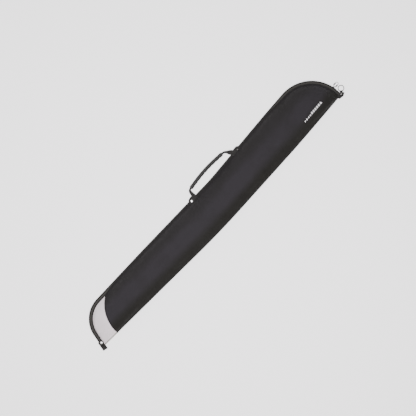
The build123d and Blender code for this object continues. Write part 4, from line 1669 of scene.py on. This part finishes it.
def end_stops():
    """Crimped metal stops at both ends of both halves of the zipper."""
    t = np.linspace(-0.5, 0.5, 23)
    swell = rounded_ends(t + 0.5, 0.12, 0.05)
    swell *= 1 - 0.08 * np.cos(6 * math.pi * t) ** 2
    for half, z, body, node in (
        ("upper", 7.5 * MM, None, "zipper_stops_front"),
        ("lower", 4.2 * MM, "root", "zipper_stops_back"),
    ):
        for end, start, nodes in (
            ("tail", ZIP_TAIL - 3.4 * MM, (node,)), ("tip", ZIP_TIP + 3.4 * MM, ()),
        ):
            points, _, inward = edge_at(start + t * 6.5 * MM)
            line = three(points + inward * 1.7 * MM, z)
            name = "stop_" + half + "_" + end
            stop = tube(name, line, 1.45 * MM * swell, 14, DARK_METAL, flat=0.85)
            settle(stop, body, nodes)


# ---- metal CAD nodes that stay as they are ----
KEPT = {
    "pull_loop": WIRE_STEEL, "handle_rivet_washers": STEEL, "tail_rivet_washer": STEEL,
}


def kept_nodes():
    for name, material in KEPT.items():
        node = frame["nodes"][name]
        node.data.materials.clear()
        node.data.materials.append(material)


for build in (
    front_layers, back_layers, guard, tapes, zipper, grip, handle_legs, tabs, rivets, tail_end,
    ring_tab, slider, pull_sleeves, end_stops, printed_mark, kept_nodes,
):
    build()


# ---- surroundings ----
def surroundings():
    paper = Shade("paper_floor", (0.90, 0.90, 0.90), 0.95)
    paper.rough(paper.noise(3.0), 0.9, 1.0)
    paper.shader.inputs["Emission Color"].default_value = (1, 1, 1, 1)
    paper.shader.inputs["Emission Strength"].default_value = FLOOR_GLOW
    corners = [(x, y, 0) for x, y in ((-1, -1), (1, -1), (1, 1), (-1, 1))]
    floor = make_object("floor", np.array(corners) * FLOOR_HALF, [(0, 1, 2, 3)], paper.material)
    floor.location.z = -FLOOR_DROP
    world = bpy.data.worlds.new("studio")
    world.use_nodes = True
    background = world.node_tree.nodes["Background"]
    background.inputs["Color"].default_value = WORLD_COLOUR
    background.inputs["Strength"].default_value = WORLD_STRENGTH
    bpy.context.scene.world = world
    for name, place, size, power in LAMPS:
        light = bpy.data.lights.new(name, "AREA")
        light.shape = "DISK"
        light.size = size
        light.energy = power
        light.color = LAMP_COLOUR
        lamp = put(name, light)
        lamp.location = place
        lamp.rotation_euler = (-Vector(place)).to_track_quat("-Z", "Y").to_euler()


FLOOR_GLOW = 1.3
FLOOR_HALF = 14.0
FLOOR_DROP = 0.3 * MM
WORLD_COLOUR = (1.0, 0.985, 0.92, 1)
WORLD_STRENGTH = 0.42
LAMP_COLOUR = (1.0, 0.955, 1.03)
# name, place, size in metres and power of each lamp
LAMPS = (
    ("key", (-0.25, -0.15, 3.1), 0.9, 118.0),
    ("fill", (-0.9, 2.0, 2.0), 2.0, 8.0),
)

LENS = 103.8                      # millimetres, on a sensor 36 mm wide
CAMERA_PLACE = (-0.011, 0.012, 6.0)
CAMERA_TURN = -46.5               # the bag runs from corner to corner of the picture


def camera():
    data = bpy.data.cameras.new("camera")
    data.lens = LENS
    data.sensor_width = 36
    made = put("camera", data)
    made.location = CAMERA_PLACE
    made.rotation_euler = (0, 0, math.radians(CAMERA_TURN))
    bpy.context.scene.camera = made


surroundings()
camera()
